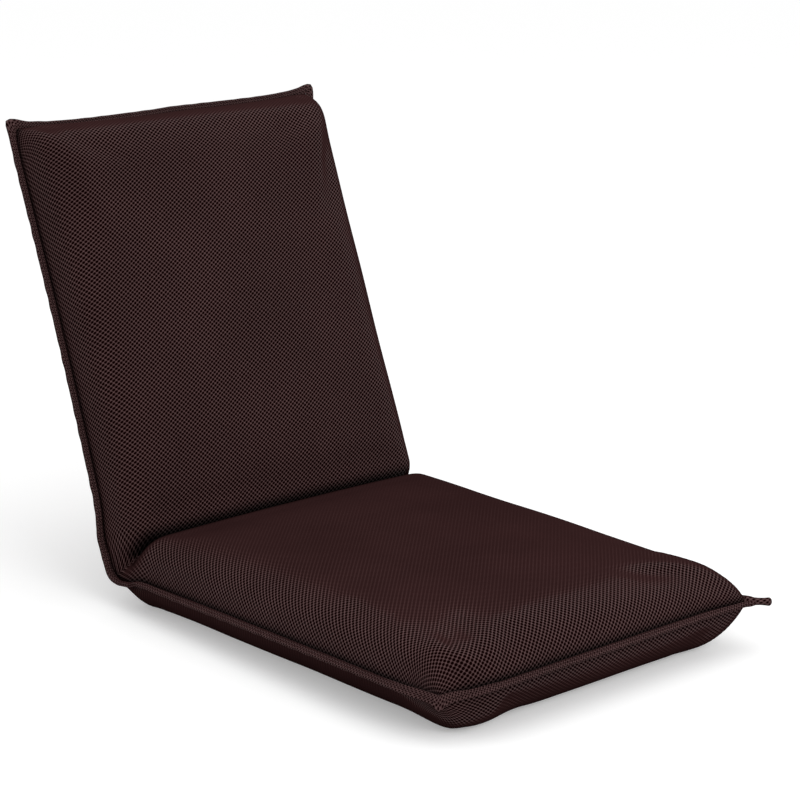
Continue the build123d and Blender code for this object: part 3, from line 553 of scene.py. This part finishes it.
def sewn_cover():
    """Both panels joined at the seam into one closed cover, and the rows it was laid from."""
    rows = cover_rows()
    front = panel("cover_front", rows, True)
    rear = panel("cover_rear", rows, False)
    edit_all(rear, bpy.ops.mesh.flip_normals)
    join(front, rear)
    cover = named("chair_cover")
    edit_all(cover, merge_doubles)
    face_outward(cover)
    return cover, rows


def seam_loop(rows):
    """The seam all round the chair: places, outward ways, and which of them are corners."""
    lines = [row_line(row, True) for row in rows]
    left, right = [line[0] for line in lines], [line[-1] for line in lines]
    sides = (
        (left, (-1.0, 0, 0)), (list(lines[-1]), (0, *BACK_WAY[0])),
        (right[::-1], (1.0, 0, 0)), (list(lines[0][::-1]), (0, *SEAT_WAY[0])),
    )
    places, outs, corners = [], [], []
    for run, out in sides:
        places += run[:-1]
        outs += [out] * (len(run) - 1)
        corners += [True] + [False] * (len(run) - 2)
    return np.array(places), np.array(outs), np.array(corners)


# ------------------------------------------------------------------ filling the cover
CREASE_HELD, CREASE_EASE = 0.004, 0.030
SEAM_HELD = 0.004
# Spreads and strength of the painted shade near the crease and beside the seam.
FOLD_SHADE, SEAM_SHADE, SEAM_DARKNESS = 0.0095, 0.011, 0.95
SIMULATED_FRAMES = 20
CLOTH = {
    "quality": 6, "mass": 0.25, "tension_stiffness": 25, "compression_stiffness": 25,
    "shear_stiffness": 12, "bending_stiffness": 3, "use_pressure": True,
    "uniform_pressure_force": 4, "vertex_group_mass": "held",
}
SIDEWAYS_SHARE = 0.35  # the boxed edges of the foam hold the side walls
UNEVENNESS = 0.00025


def hold_edges(cover, rows):
    """Holds the cover at its crease and seam, and marks the painted shade that darkens the cover near them."""
    start = points_of(cover)
    half = REST_ANGLE / 2
    apart = np.abs((start[:, 1:] - HUB) @ (-math.sin(half), -math.cos(half)))
    loop = seam_loop(rows)[0]
    near = np.min(np.linalg.norm(start[:, None, :] - loop[None, :, :], axis=2), axis=1)
    weights = np.maximum(np.clip(1 - (apart - CREASE_HELD) / CREASE_EASE, 0, 1),
                         np.clip(1 - near / SEAM_HELD, 0, 1))
    held = cover.vertex_groups.new(name="held")
    for index in np.nonzero(weights)[0]:
        held.add([int(index)], float(weights[index]), "REPLACE")
    # Painted shade, kept in the 'depth' attribute: dark close to the crease on its inner side, and beside the
    # seam.
    inner = (math.cos(BACK_TILT / 2 + math.pi / 2), math.sin(BACK_TILT / 2 + math.pi / 2))
    painted_crease_shade = fading(apart, FOLD_SHADE) * ((start[:, 1:] - HUB) @ inner > 0)
    depth = cover.data.attributes.new("depth", "FLOAT", "POINT")
    depth.data.foreach_set(
        "value", np.maximum(painted_crease_shade, SEAM_DARKNESS * np.clip(1 - near / SEAM_SHADE, 0, 1)))
    return weights


def simulated(cover):
    """The cover's points after a short cloth simulation with pressure inside and no gravity."""
    pick(cover)
    modifier = cover.modifiers.new("Cloth", "CLOTH")
    for key, value in CLOTH.items():
        setattr(modifier.settings, key, value)
    modifier.settings.effector_weights.gravity = 0
    modifier.collision_settings.use_collision = False
    scene = bpy.context.scene
    for timed in (scene, modifier.point_cache):
        timed.frame_start, timed.frame_end = 1, SIMULATED_FRAMES
    for step in range(1, SIMULATED_FRAMES + 1):
        scene.frame_set(step)
    shaped = cover.evaluated_get(bpy.context.evaluated_depsgraph_get())
    moved = np.array([v.co for v in shaped.data.vertices], float)
    cover.modifiers.remove(modifier)
    scene.frame_set(1)
    return moved


def fill_out(cover, rows):
    """Swells the cover round its filling, all but its held seam and crease."""
    s = sizes()
    start = points_of(cover)
    free = 1 - hold_edges(cover, rows)
    shift = simulated(cover) - start
    size = np.linalg.norm(shift, axis=1)
    capped = s.swell * np.tanh(size / s.swell)
    shift *= (capped / np.maximum(size, TINY) * free)[:, None]
    shift[:, 0] *= SIDEWAYS_SHARE
    finished = start + shift
    move_points(cover, finished)
    finished += folds_of(cover, finished) * free[:, None]
    move_points(cover, rest_flat(start, finished))
    cover.vertex_groups.clear()


# Soft folds: two ends, the width of the valley and its depth.
FOLDS = (
    ((-0.176, -0.246, 0.056), (-0.150, -0.190, 0.090), 0.010, 0.0026),
    ((-0.150, -0.256, 0.058), (-0.128, -0.205, 0.090), 0.010, 0.0018),
    ((-0.202, -0.190, 0.052), (-0.165, -0.135, 0.090), 0.010, 0.0020),
    ((0.190, -0.225, 0.062), (0.135, -0.180, 0.090), 0.012, 0.0018),
    ((-0.196, 0.244, 0.060), (-0.188, 0.262, 0.150), 0.010, 0.0020),
    ((-0.188, 0.420, 0.492), (-0.120, 0.385, 0.430), 0.014, 0.0020),
    ((0.188, 0.420, 0.492), (0.130, 0.385, 0.430), 0.014, 0.0018),
)


def folds_of(cover, points):
    """Small folds near the corners, and a slight unevenness all over, along the normals."""
    normals = np.empty(len(points) * 3)
    cover.data.vertices.foreach_get("normal", normals)
    x, y, z = points.T
    depth = UNEVENNESS * (np.sin(41 * x + 1.7 * np.sin(19 * y)) + np.sin(33 * (y + z) + 31 * x))
    for first, last, width, low in FOLDS:
        first, last = np.array(first), np.array(last)
        way = last - first
        share = np.clip((points - first) @ way / (way @ way), 0, 1)
        apart = np.linalg.norm(points - first - np.outer(share, way), axis=1) / width
        fade = 1 - (2 * share - 1) ** 4
        depth += low * fade * (0.6 * fading(apart - 1.5, 0.7) - fading(apart, 1.0))
    return depth[:, None] * normals.reshape(-1, 3)


def rest_flat(start, points):
    """Keeps both undersides in their planes, so that the chair lies flat on the floor."""
    points = points.copy()
    depth = sizes().flat_depth
    for way, other in ((SEAT_WAY, BACK_WAY), (BACK_WAY, SEAT_WAY)):
        along = (start[:, 1:] - HUB) @ way[0]
        up = (points[:, 1:] - HUB) @ way[1]
        beside = (start[:, 1:] - HUB) @ other[0]
        low = (along > 0.0) & (along > beside) & (up < -depth)
        points[low, 1:] += np.outer(-depth - up[low], way[1])
    return points


# ------------------------------------------------------------------ seam lip
LIP_SPACING = 0.0045
LIP_ROOT = 0.0030  # how far the lip reaches into the cover
# The lip's upper half in section: shares of its width and of half its thickness.
LIP_UPPER = (
    (0.10, 0.25), (0.20, 1.00), (0.36, 1.00), (0.47, 0.40), (0.60, 1.00), (0.80, 1.10),
    (0.97, 0.80), (1.00, 0.35), (0.84, 0.06),
)
LIP_KNIT = 1.3  # the lip's mesh is finer than the cover's by this
RIPPLE_WAVES = (0.023, 0.143)
CORNER_RUN = 0.018
CORNER_FULLNESS = 0.30
SEAT_DROOP = math.radians(30)
DROOP_RUN = 0.12  # from the hinge to where the seat's lip hangs in full
TUCK_DROOP = math.radians(52)
TUCK_RUN = 0.040
TUCKED_POINT = 0.6  # how much less the tucked corner draws out


def lip_section():
    """Cross-section of the lip: a slot at its base, a stitched groove and two parted layers."""
    s = sizes()
    half = s.lip_thickness / 2
    upper = [(-LIP_ROOT, 0.20 * half)]
    upper += [(out * s.lip_width, off * half) for out, off in LIP_UPPER]
    return upper + [(out, -off) for out, off in reversed(upper)]


def lip_stations(rows):
    """Even stations round the seam: places, outward and rearward ways, how far each draws out,
    and where along the seam they and its end lie."""
    s = sizes()
    places, outs, corners = seam_loop(rows)
    chords = np.linalg.norm(np.roll(places, -1, axis=0) - places, axis=1)
    reach = np.concatenate([[0], np.cumsum(chords)])
    total = reach[-1]
    number = int(round(total / LIP_SPACING))
    marks = np.linspace(0, total, number, endpoint=False)
    corner_marks = reach[:-1][corners]
    for mark in corner_marks:
        marks[np.argmin(np.abs(marks - mark))] = mark
    closed = np.concatenate([places, places[:1]])
    spots = np.stack([np.interp(marks, reach, closed[:, k]) for k in range(3)], axis=1)
    segment = np.clip(np.searchsorted(reach, marks, side="right") - 1, 0, len(places) - 1)
    ways = outs[segment].copy()
    apart = np.abs((marks[:, None] - corner_marks + total / 2) % total - total / 2)
    gap = apart.min(axis=1)
    at_corner = gap < TINY
    drawn = 1 + CORNER_FULLNESS * np.clip(1 - gap / CORNER_RUN, 0, 1) ** 2
    for index in np.nonzero(at_corner)[0]:
        both = ways[index - 1] + ways[(index + 1) % number]
        ways[index] = both / np.linalg.norm(both)
        drawn[index] = math.sqrt(2) + s.corner_point / s.lip_width
    tangent = np.roll(spots, -1, axis=0) - np.roll(spots, 1, axis=0)
    tangent /= np.linalg.norm(tangent, axis=1)[:, None]
    rear = np.cross(ways, tangent)
    rear /= np.linalg.norm(rear, axis=1)[:, None]
    # The seat's lip hangs a little, but not at its right corner, and turns under at its left.
    forward = np.clip((hinge_y - spots[:, 1]) / DROOP_RUN, 0, 1) * (spots[:, 2] < SEAT_BELOW)
    level = 1 - fading(apart[:, 3], TUCK_RUN)
    droop = SEAT_DROOP * forward * level + TUCK_DROOP * fading(apart[:, 0], TUCK_RUN)
    drawn[at_corner] -= (1 - level[at_corner]) * TUCKED_POINT
    lean, turn = np.cos(droop)[:, None], np.sin(droop)[:, None]
    return spots, ways * lean + rear * turn, rear * lean - ways * turn, drawn, marks, total


NUB_GIRTH, NUB_WAIST = 1.10, 0.34
NUB_ROUNDING = 0.12  # share of the nub's length that each end's rounding takes
NUB_SUNK = 0.35  # share of its length that lies inside the lip


def front_nub(spot, way):
    """The short clubbed end that the lip draws out to at the front right corner."""
    s = sizes()
    deselect_all()
    bpy.ops.mesh.primitive_uv_sphere_add(segments=20, ring_count=24, radius=1)
    nub = named("front_nub")
    nub.data.uv_layers[0].name = "cloth"
    points = points_of(nub)
    share = (points[:, 2] + 1) / 2
    girth = NUB_GIRTH - NUB_WAIST * np.sin(math.pi * np.clip(share / 1.20, 0, 1)) ** 1.5
    end = np.clip(np.minimum(share, 1 - share) / NUB_ROUNDING, 0, 1)
    radius = s.nub_radius * girth * np.sqrt(end * (2 - end))
    across = np.hypot(points[:, 0], points[:, 1])
    ring = points[:, :2] * (radius / np.maximum(across, TINY))[:, None]
    side = np.cross(way, (0, 0, 1))
    side /= np.linalg.norm(side)
    up = np.cross(side, way)
    length = s.nub_length * (1 + NUB_SUNK)
    centre = spot - way * s.nub_length * NUB_SUNK + np.outer(share * length, way)
    move_points(nub, centre + np.outer(ring[:, 0], side) + np.outer(ring[:, 1], up))
    for corner in nub.data.uv_layers[0].data:
        corner.uv = (corner.uv[0] * 2 * math.pi * s.nub_radius, corner.uv[1] * length)
    return nub


def seam_lip():
    """The sewn lip round the whole cover, with the end it draws out at the front right corner.

    The left one is turned under the corner and out of sight."""
    s = sizes()
    section = lip_section()
    spots, ways, rears, drawn, marks, total = lip_stations(cover_rows())
    number = len(spots)
    lip, turn, line = cloth_grid("seam_lip", len(section), number)
    spread = np.array(section + section[:1])
    out, off = spread[turn].T
    at = line % number
    out = np.where(out > 0, out * drawn[at], out)
    ripple = math.prod(np.sin(marks * 2 * math.pi / wave) for wave in RIPPLE_WAVES)
    off = off + s.lip_ripple * ripple[at] * np.clip(out / s.lip_width, 0, 1)
    move_points(lip, spots[at] + out[:, None] * ways[at] - off[:, None] * rears[at])
    girth = np.concatenate([[0], np.cumsum(np.linalg.norm(np.diff(spread, axis=0), axis=1))])
    lengths = np.append(marks, total)
    uv = lip.data.uv_layers["cloth"].data
    for loop in lip.data.loops:
        v = loop.vertex_index
        uv[loop.index].uv = (LIP_KNIT * girth[turn[v]], LIP_KNIT * lengths[line[v]])
    edit_all(lip, merge_doubles)
    face_outward(lip)
    front_right = int(np.argmin(spots[:, 1] - spots[:, 0]))
    nub = front_nub(spots[front_right], ways[front_right])
    face_outward(nub)
    join(lip, nub)
    subdivided_smooth(lip)
    return lip


# ------------------------------------------------------------------ finishes
class Graph:
    """A node tree, with short ways to add and join nodes."""

    def __init__(self, tree):
        self.tree = tree

    def node(self, kind, inputs=(), **settings):
        made = self.tree.nodes.new(kind)
        for key, value in settings.items():
            setattr(made, key, value)
        for key, value in dict(inputs).items():
            self.feed(made.inputs[key], value)
        return made

    def feed(self, socket, value):
        if isinstance(value, bpy.types.NodeSocket):
            self.tree.links.new(value, socket)
        else:
            socket.default_value = value

    def math(self, operation, first, second=0.0, third=0.0):
        return self.node("ShaderNodeMath", {0: first, 1: second, 2: third},
                         operation=operation).outputs[0]

    def vector(self, operation, first, second=(0.0, 0.0, 0.0)):
        return self.node("ShaderNodeVectorMath", {0: first, 1: second},
                         operation=operation).outputs["Value"]

    def range(self, value, low, high, to_low=0.0, to_high=1.0, kind="SMOOTHSTEP"):
        return self.node(
            "ShaderNodeMapRange",
            {"Value": value, "From Min": low, "From Max": high, "To Min": to_low,
             "To Max": to_high}, interpolation_type=kind).outputs["Result"]

    def blend(self, share, first, second):
        return self.node("ShaderNodeMix", {"Factor": share, 6: first, 7: second},
                         data_type="RGBA").outputs[2]

    def place(self):
        return self.node("ShaderNodeTexCoord").outputs["Object"]

    def noise(self, place, scale, detail):
        return self.node("ShaderNodeTexNoise", {"Vector": place, "Scale": scale,
                                                "Detail": detail}).outputs[0]

    def paint(self, shader, tone, shade):
        """Gives a shader its base colour: a tone times a shade."""
        self.feed(shader.inputs["Base Color"], self.node(
            "ShaderNodeVectorMath", {0: tone, "Scale": shade}, operation="SCALE").outputs[0])

    def emboss(self, shader, height, strength, distance):
        self.feed(shader.inputs["Normal"], self.node(
            "ShaderNodeBump",
            {"Height": height, "Strength": strength, "Distance": distance}).outputs[0])


def cleared(owner):
    """The node tree of a material or world, emptied."""
    owner.use_nodes = True
    owner.node_tree.nodes.clear()
    return Graph(owner.node_tree)


def group(name, inputs, outputs):
    tree = bpy.data.node_groups.new(name, "ShaderNodeTree")
    for label, kind, default in inputs:
        socket = tree.interface.new_socket(label, in_out="INPUT", socket_type=kind)
        if default is not None:
            socket.default_value = default
    for label in outputs:
        tree.interface.new_socket(label, in_out="OUTPUT", socket_type="NodeSocketFloat")
    graph = Graph(tree)
    return tree, graph, graph.node("NodeGroupInput").outputs, graph.node("NodeGroupOutput").inputs


HOLE_SQUASH = 0.88  # a hole is longer across the far rows, by one over this
YARN_TURNS, YARN_TWIST = 9.0, 46.0
# Layer Weight's Facing from which the open knit closes and to which it does, and how far.
CLOSES_FROM, CLOSES_TO, CLOSES_BY = 0.33, 0.77, 0.96


def air_mesh_group():
    """Knitted spacer mesh: staggered holes between lens-shaped bundles of yarn."""
    tree, g, take, give = group(
        "air_mesh",
        [("Cloth", "NodeSocketVector", None), ("Near Rows", "NodeSocketVector", None),
         ("Far Rows", "NodeSocketVector", None), ("Hole", "NodeSocketFloat", 0.3)],
        ["Hole", "Height"])
    # Each axis counts the hole rows that lie across it.
    cell = []
    for label in ("Near Rows", "Far Rows"):
        count = g.vector("DOT_PRODUCT", take["Cloth"], take[label])
        cell.append(g.math("SUBTRACT", g.math("FRACT", count), 0.5))
    squashed = g.math("MULTIPLY", cell[1], HOLE_SQUASH)
    spot = g.node("ShaderNodeCombineXYZ", {0: cell[0], 1: squashed})
    nearest = g.vector("LENGTH", spot.outputs[0])
    edge = g.math("ADD", take["Hole"], 0.11)
    hole = g.range(nearest, edge, g.math("SUBTRACT", take["Hole"], 0.03))
    # Fine yarns wind round each hole.
    turn = g.math("ARCTAN2", cell[1], cell[0])
    twist = g.math("ADD", g.math("MULTIPLY", turn, YARN_TURNS),
                   g.math("MULTIPLY", nearest, YARN_TWIST))
    yarn = g.math("MULTIPLY_ADD", g.math("SINE", twist), 0.5, 0.5)
    rise = g.range(nearest, take["Hole"], 0.56)
    height = g.math("ADD", g.math("MULTIPLY", rise, 0.8), g.math("MULTIPLY", yarn, 0.2))
    g.feed(give["Hole"], hole)
    g.feed(give["Height"], g.math("MULTIPLY", height, g.math("SUBTRACT", 1.0, hole)))
    return tree


def material(name):
    made = bpy.data.materials.new(name)
    g = cleared(made)
    shader = g.node("ShaderNodeBsdfPrincipled")
    g.node("ShaderNodeOutputMaterial", {"Surface": shader.outputs[0]})
    return made, g, shader


def row_count_way(angle, step, other):
    """Vector whose product with a place on the cloth counts the rows that lie along 'other'."""
    across = (-math.sin(other), math.cos(other))
    reach = step * (across[0] * math.cos(angle) + across[1] * math.sin(angle))
    return (across[0] / reach, across[1] / reach, 0.0)


def air_mesh_material(name, hole_share=1.0):
    """Warp-knitted air mesh: open between its yarns face on, closed to a plain tone edge on."""
    made, g, shader = material(name)
    c, s = colours(), sizes()
    knit = g.node(
        "ShaderNodeGroup", node_tree=bpy.data.node_groups.get("air_mesh") or air_mesh_group())
    g.feed(knit.inputs["Cloth"], g.node("ShaderNodeUVMap", uv_map="cloth").outputs[0])
    g.feed(knit.inputs["Near Rows"], row_count_way(s.near_angle, s.near_step, s.far_angle))
    g.feed(knit.inputs["Far Rows"], row_count_way(s.far_angle, s.far_step, s.near_angle))
    g.feed(knit.inputs["Hole"], s.hole_size * hole_share)
    hole, height = knit.outputs["Hole"], knit.outputs["Height"]
    place = g.place()
    shade = g.math("ADD", g.range(g.noise(place, 9.0, 3.0), 0.3, 0.7, 0.92, 1.07),
                   g.range(g.noise(place, 900.0, 2.0), 0.3, 0.7, -0.08, 0.10))
    # Painted shade: deep in the crease and beside the seam, where little light comes in, the base colour darkens
    # down to 6 percent.
    depth = g.node("ShaderNodeAttribute", attribute_name="depth").outputs["Fac"]
    shade = g.math("MULTIPLY", shade, g.range(depth, 0.0, 1.0, 1.0, 0.06))
    # Painted shade: the yarns darken from crest to side as the knit's height falls.
    threads = g.blend(g.range(height, 0.15, 1.0), tuple(c.yarn_side_shade), tuple(c.yarn))
    # The holes' near-black tone: partly the mesh's inner layer, partly painted shade inside the holes.
    open_tone = g.blend(hole, threads, tuple(c.hollow))
    facing = g.node("ShaderNodeLayerWeight", {"Blend": 0.5}).outputs["Facing"]
    closed = g.range(facing, CLOSES_FROM, CLOSES_TO, 0.0, CLOSES_BY)
    g.paint(shader, g.blend(closed, open_tone, tuple(c.edge_on)), shade)
    g.feed(shader.inputs["Roughness"], g.range(hole, 0, 1, 0.62, 0.98))
    g.feed(shader.inputs["Specular IOR Level"],
           g.math("MULTIPLY", g.range(closed, 0.0, 0.60, 0.10, 0.0),
                  g.math("SUBTRACT", 1.0, hole)))
    g.emboss(shader, height, g.range(closed, 0.0, 0.88, 0.8, 0.15), 0.0012)
    return made


def wear_group():
    """Slight unevenness of a finished surface."""
    tree, g, take, give = group(
        "surface_variation",
        [("Place", "NodeSocketVector", None), ("Scale", "NodeSocketFloat", 60.0)],
        ["Broad", "Fine"])
    fine_scale = g.math("MULTIPLY", take["Scale"], 22.0)
    g.feed(give["Broad"], g.noise(take["Place"], take["Scale"], 4.0))
    g.feed(give["Fine"], g.noise(take["Place"], fine_scale, 2.0))
    return tree


def plain_material(name, colour, metallic, rough, scale, depth):
    """A finish with slight changes of tone, gloss and level over its surface."""
    made, g, shader = material(name)
    vary = g.node("ShaderNodeGroup",
                  node_tree=bpy.data.node_groups.get("surface_variation") or wear_group())
    g.feed(vary.inputs["Place"], g.place())
    g.feed(vary.inputs["Scale"], scale)
    g.paint(shader, tuple(colour)[:3], g.range(vary.outputs["Broad"], 0.3, 0.7, 0.82, 1.12))
    g.feed(shader.inputs["Roughness"],
           g.range(vary.outputs["Fine"], 0.3, 0.7, rough * 0.85, min(1.0, rough * 1.15)))
    shader.inputs["Metallic"].default_value = metallic
    g.emboss(shader, vary.outputs["Fine"], 0.4, depth)
    return made


def webbing_material():
    """Elastic webbing: ribs along the band and a close weave across them."""
    made, g, shader = material("woven_webbing")
    place = g.place()
    ribs, weave = (
        g.node("ShaderNodeTexWave", {"Vector": place, "Scale": scale},
               bands_direction=way).outputs["Fac"]
        for scale, way in ((160.0, "Y"), (300.0, "X")))
    height = g.math("MULTIPLY_ADD", weave, 0.5, ribs)
    # The tone follows the ribs' height: painted shade darkens the grooves between them.
    g.paint(shader, tuple(colours().webbing)[:3], g.range(height, 0.0, 1.5, 0.6, 1.5))
    shader.inputs["Roughness"].default_value = 0.85
    g.emboss(shader, height, 0.5, 0.0004)
    return made


def finish_with(thing, made):
    thing.data.materials.clear()
    thing.data.materials.append(made)


# ------------------------------------------------------------------ studio
FLOOR_SIZE = 30
FLOOR_GLOW = 0.27
WORLD_LIGHT = 0.80
OVERHEAD = {"size": (2.6, 2.2), "power": 10, "place": (0.3, 0.2, 2.6), "target": (0.0, 0.05, 0.1)}
BY_CAMERA = {
    "size": (1.6, 1.4), "power": 22, "place": (-0.3, -2.9, 1.8), "target": (0.0, 0.1, 0.2)}
CAMERA_PLACE, CAMERA_TARGET = (-1.521, -1.716, 0.865), (0.093, 0.148, 0.200)
CAMERA_LENS, CAMERA_SENSOR = 104.7, 36


def seen_ray(g):
    """1 for a ray from the camera, or on from there through gloss or glass."""
    path = g.node("ShaderNodeLightPath").outputs
    return g.math("MAXIMUM", path["Is Camera Ray"], g.math(
        "MAXIMUM", path["Is Glossy Ray"], path["Is Transmission Ray"]))


def studio_floor():
    """A pale floor that shows lighter than it lights."""
    deselect_all()
    bpy.ops.mesh.primitive_plane_add(size=FLOOR_SIZE, location=(0, 0, 0))
    floor = named("studio_floor")
    made = bpy.data.materials.new("studio_floor")
    g = cleared(made)
    matte = g.node("ShaderNodeBsdfDiffuse", {"Color": tuple(colours().floor)})
    dim = g.node("ShaderNodeBsdfDiffuse", {"Color": tuple(colours().floor_bounce)})
    glow = g.node("ShaderNodeEmission", {"Color": (1, 1, 1, 1), "Strength": FLOOR_GLOW})
    lifted = g.node("ShaderNodeAddShader", {0: matte.outputs[0], 1: glow.outputs[0]})
    mix = g.node("ShaderNodeMixShader",
                 {0: seen_ray(g), 1: dim.outputs[0], 2: lifted.outputs[0]})
    g.node("ShaderNodeOutputMaterial", {"Surface": mix.outputs[0]})
    finish_with(floor, made)


def aim(thing, target):
    way = Vector(target) - thing.location
    thing.rotation_euler = way.to_track_quat("-Z", "Y").to_euler()


def softbox(name, size, power, place, target):
    bpy.ops.object.light_add(type="AREA", location=place)
    light = named(name)
    light.data.shape = "RECTANGLE"
    light.data.size, light.data.size_y = size
    light.data.energy = power
    aim(light, target)


def studio_world():
    """Plain light all round, before a white background."""
    world = bpy.data.worlds.new("studio")
    bpy.context.scene.world = world
    g = cleared(world)
    strength = g.range(seen_ray(g), 0, 1, WORLD_LIGHT, 1.0, "LINEAR")
    back = g.node("ShaderNodeBackground", {"Color": (1, 1, 1, 1), "Strength": strength})
    g.node("ShaderNodeOutputWorld", {"Surface": back.outputs[0]})


def photo_camera():
    bpy.ops.object.camera_add(location=CAMERA_PLACE)
    camera = named("photo_camera")
    camera.data.lens = CAMERA_LENS
    camera.data.sensor_width = CAMERA_SENSOR
    camera.data.clip_start, camera.data.clip_end = 0.05, 60
    aim(camera, CAMERA_TARGET)
    bpy.context.scene.camera = camera


def bend_with_hinge(thing):
    """Bakes the piece's transform into its mesh."""
    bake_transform(thing)


class FLOORCHAIR_OT_cover(bpy.types.Operator):
    """Sews, fills and finishes the air mesh cover"""

    bl_idname = "floorchair.cover"
    bl_label = "Padded Cover"

    def execute(self, context):
        cover, rows = sewn_cover()
        fill_out(cover, rows)
        subdivided_smooth(cover)
        finish_with(cover, air_mesh_material("air_mesh_cover"))
        bend_with_hinge(cover)
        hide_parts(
            "seat_cover_top", "seat_cover_bottom", "back_cover_front", "back_cover_rear",
            "hinge_cover", "seat_lower_foam", "seat_upper_foam", "back_rear_foam",
            "back_front_foam")
        return {"FINISHED"}


class FLOORCHAIR_OT_lip(bpy.types.Operator):
    """Adds the top-stitched lip round the cover's seam"""

    bl_idname = "floorchair.lip"
    bl_label = "Seam Lip"

    def execute(self, context):
        lip = seam_lip()
        finish_with(lip, air_mesh_material("air_mesh_lip", 0.7))
        bend_with_hinge(lip)
        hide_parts("seat_seam_flange", "back_seam_flange")
        return {"FINISHED"}


class FLOORCHAIR_OT_metalwork(bpy.types.Operator):
    """Finishes the tubes, bands, hinge plates and rivets inside the pads"""

    bl_idname = "floorchair.metalwork"
    bl_label = "Frames and Hinges"

    def execute(self, context):
        c = colours()
        finishes = {
            "frame_steel": plain_material("powder_coat", c.powder, 0.0, 0.42, 90.0, 0.0001),
            "hinge_steel": plain_material("zinc_plate", c.zinc, 1.0, 0.36, 45.0, 0.00004),
            "rivet_steel": plain_material("bright_rivet", c.zinc, 1.0, 0.24, 70.0, 0.00003),
            "spring_steel": plain_material("spring_wire", c.spring, 1.0, 0.3, 80.0, 0.00003),
            "webbing": webbing_material(),
        }
        for part in frame["record"]["subparts"]:
            if part["material_slot"] in finishes:
                finish_with(frame["nodes"][part["node"]], finishes[part["material_slot"]])
        return {"FINISHED"}


class FLOORCHAIR_OT_stage(bpy.types.Operator):
    """Sets up the floor, lights and camera"""

    bl_idname = "floorchair.stage"
    bl_label = "Studio"

    def execute(self, context):
        studio_floor()
        softbox("overhead_softbox", **OVERHEAD)
        softbox("camera_softbox", **BY_CAMERA)
        studio_world()
        photo_camera()
        context.scene.view_settings.view_transform = "Standard"
        return {"FINISHED"}


OPERATORS = (
    FLOORCHAIR_OT_cover, FLOORCHAIR_OT_lip, FLOORCHAIR_OT_metalwork, FLOORCHAIR_OT_stage)


class FLOORCHAIR_PT_panel(bpy.types.Panel):
    """Lists the chair's pieces, sizes and colours"""

    bl_label = "Folding Floor Chair"
    bl_idname = "FLOORCHAIR_PT_panel"
    bl_space_type = "VIEW_3D"
    bl_region_type = "UI"
    bl_category = "Floor Chair"

    def draw(self, context):
        layout = self.layout
        for operator in OPERATORS:
            layout.operator(operator.bl_idname)
        for owner in (context.scene.chair_sizes, context.scene.chair_colours):
            box = layout.box()
            for key in owner.__annotations__:
                box.prop(owner, key)


CLASSES = (ChairSizes, ChairColours, *OPERATORS, FLOORCHAIR_PT_panel)


def register():
    for item in CLASSES:
        bpy.utils.register_class(item)
    bpy.types.Scene.chair_sizes = bpy.props.PointerProperty(type=ChairSizes)
    bpy.types.Scene.chair_colours = bpy.props.PointerProperty(type=ChairColours)


def unregister():
    del bpy.types.Scene.chair_colours
    del bpy.types.Scene.chair_sizes
    for item in reversed(CLASSES):
        bpy.utils.unregister_class(item)


def main():
    register()
    bpy.ops.floorchair.cover()
    bpy.ops.floorchair.lip()
    bpy.ops.floorchair.metalwork()
    bpy.ops.floorchair.stage()


if __name__ == "__main__":
    main()
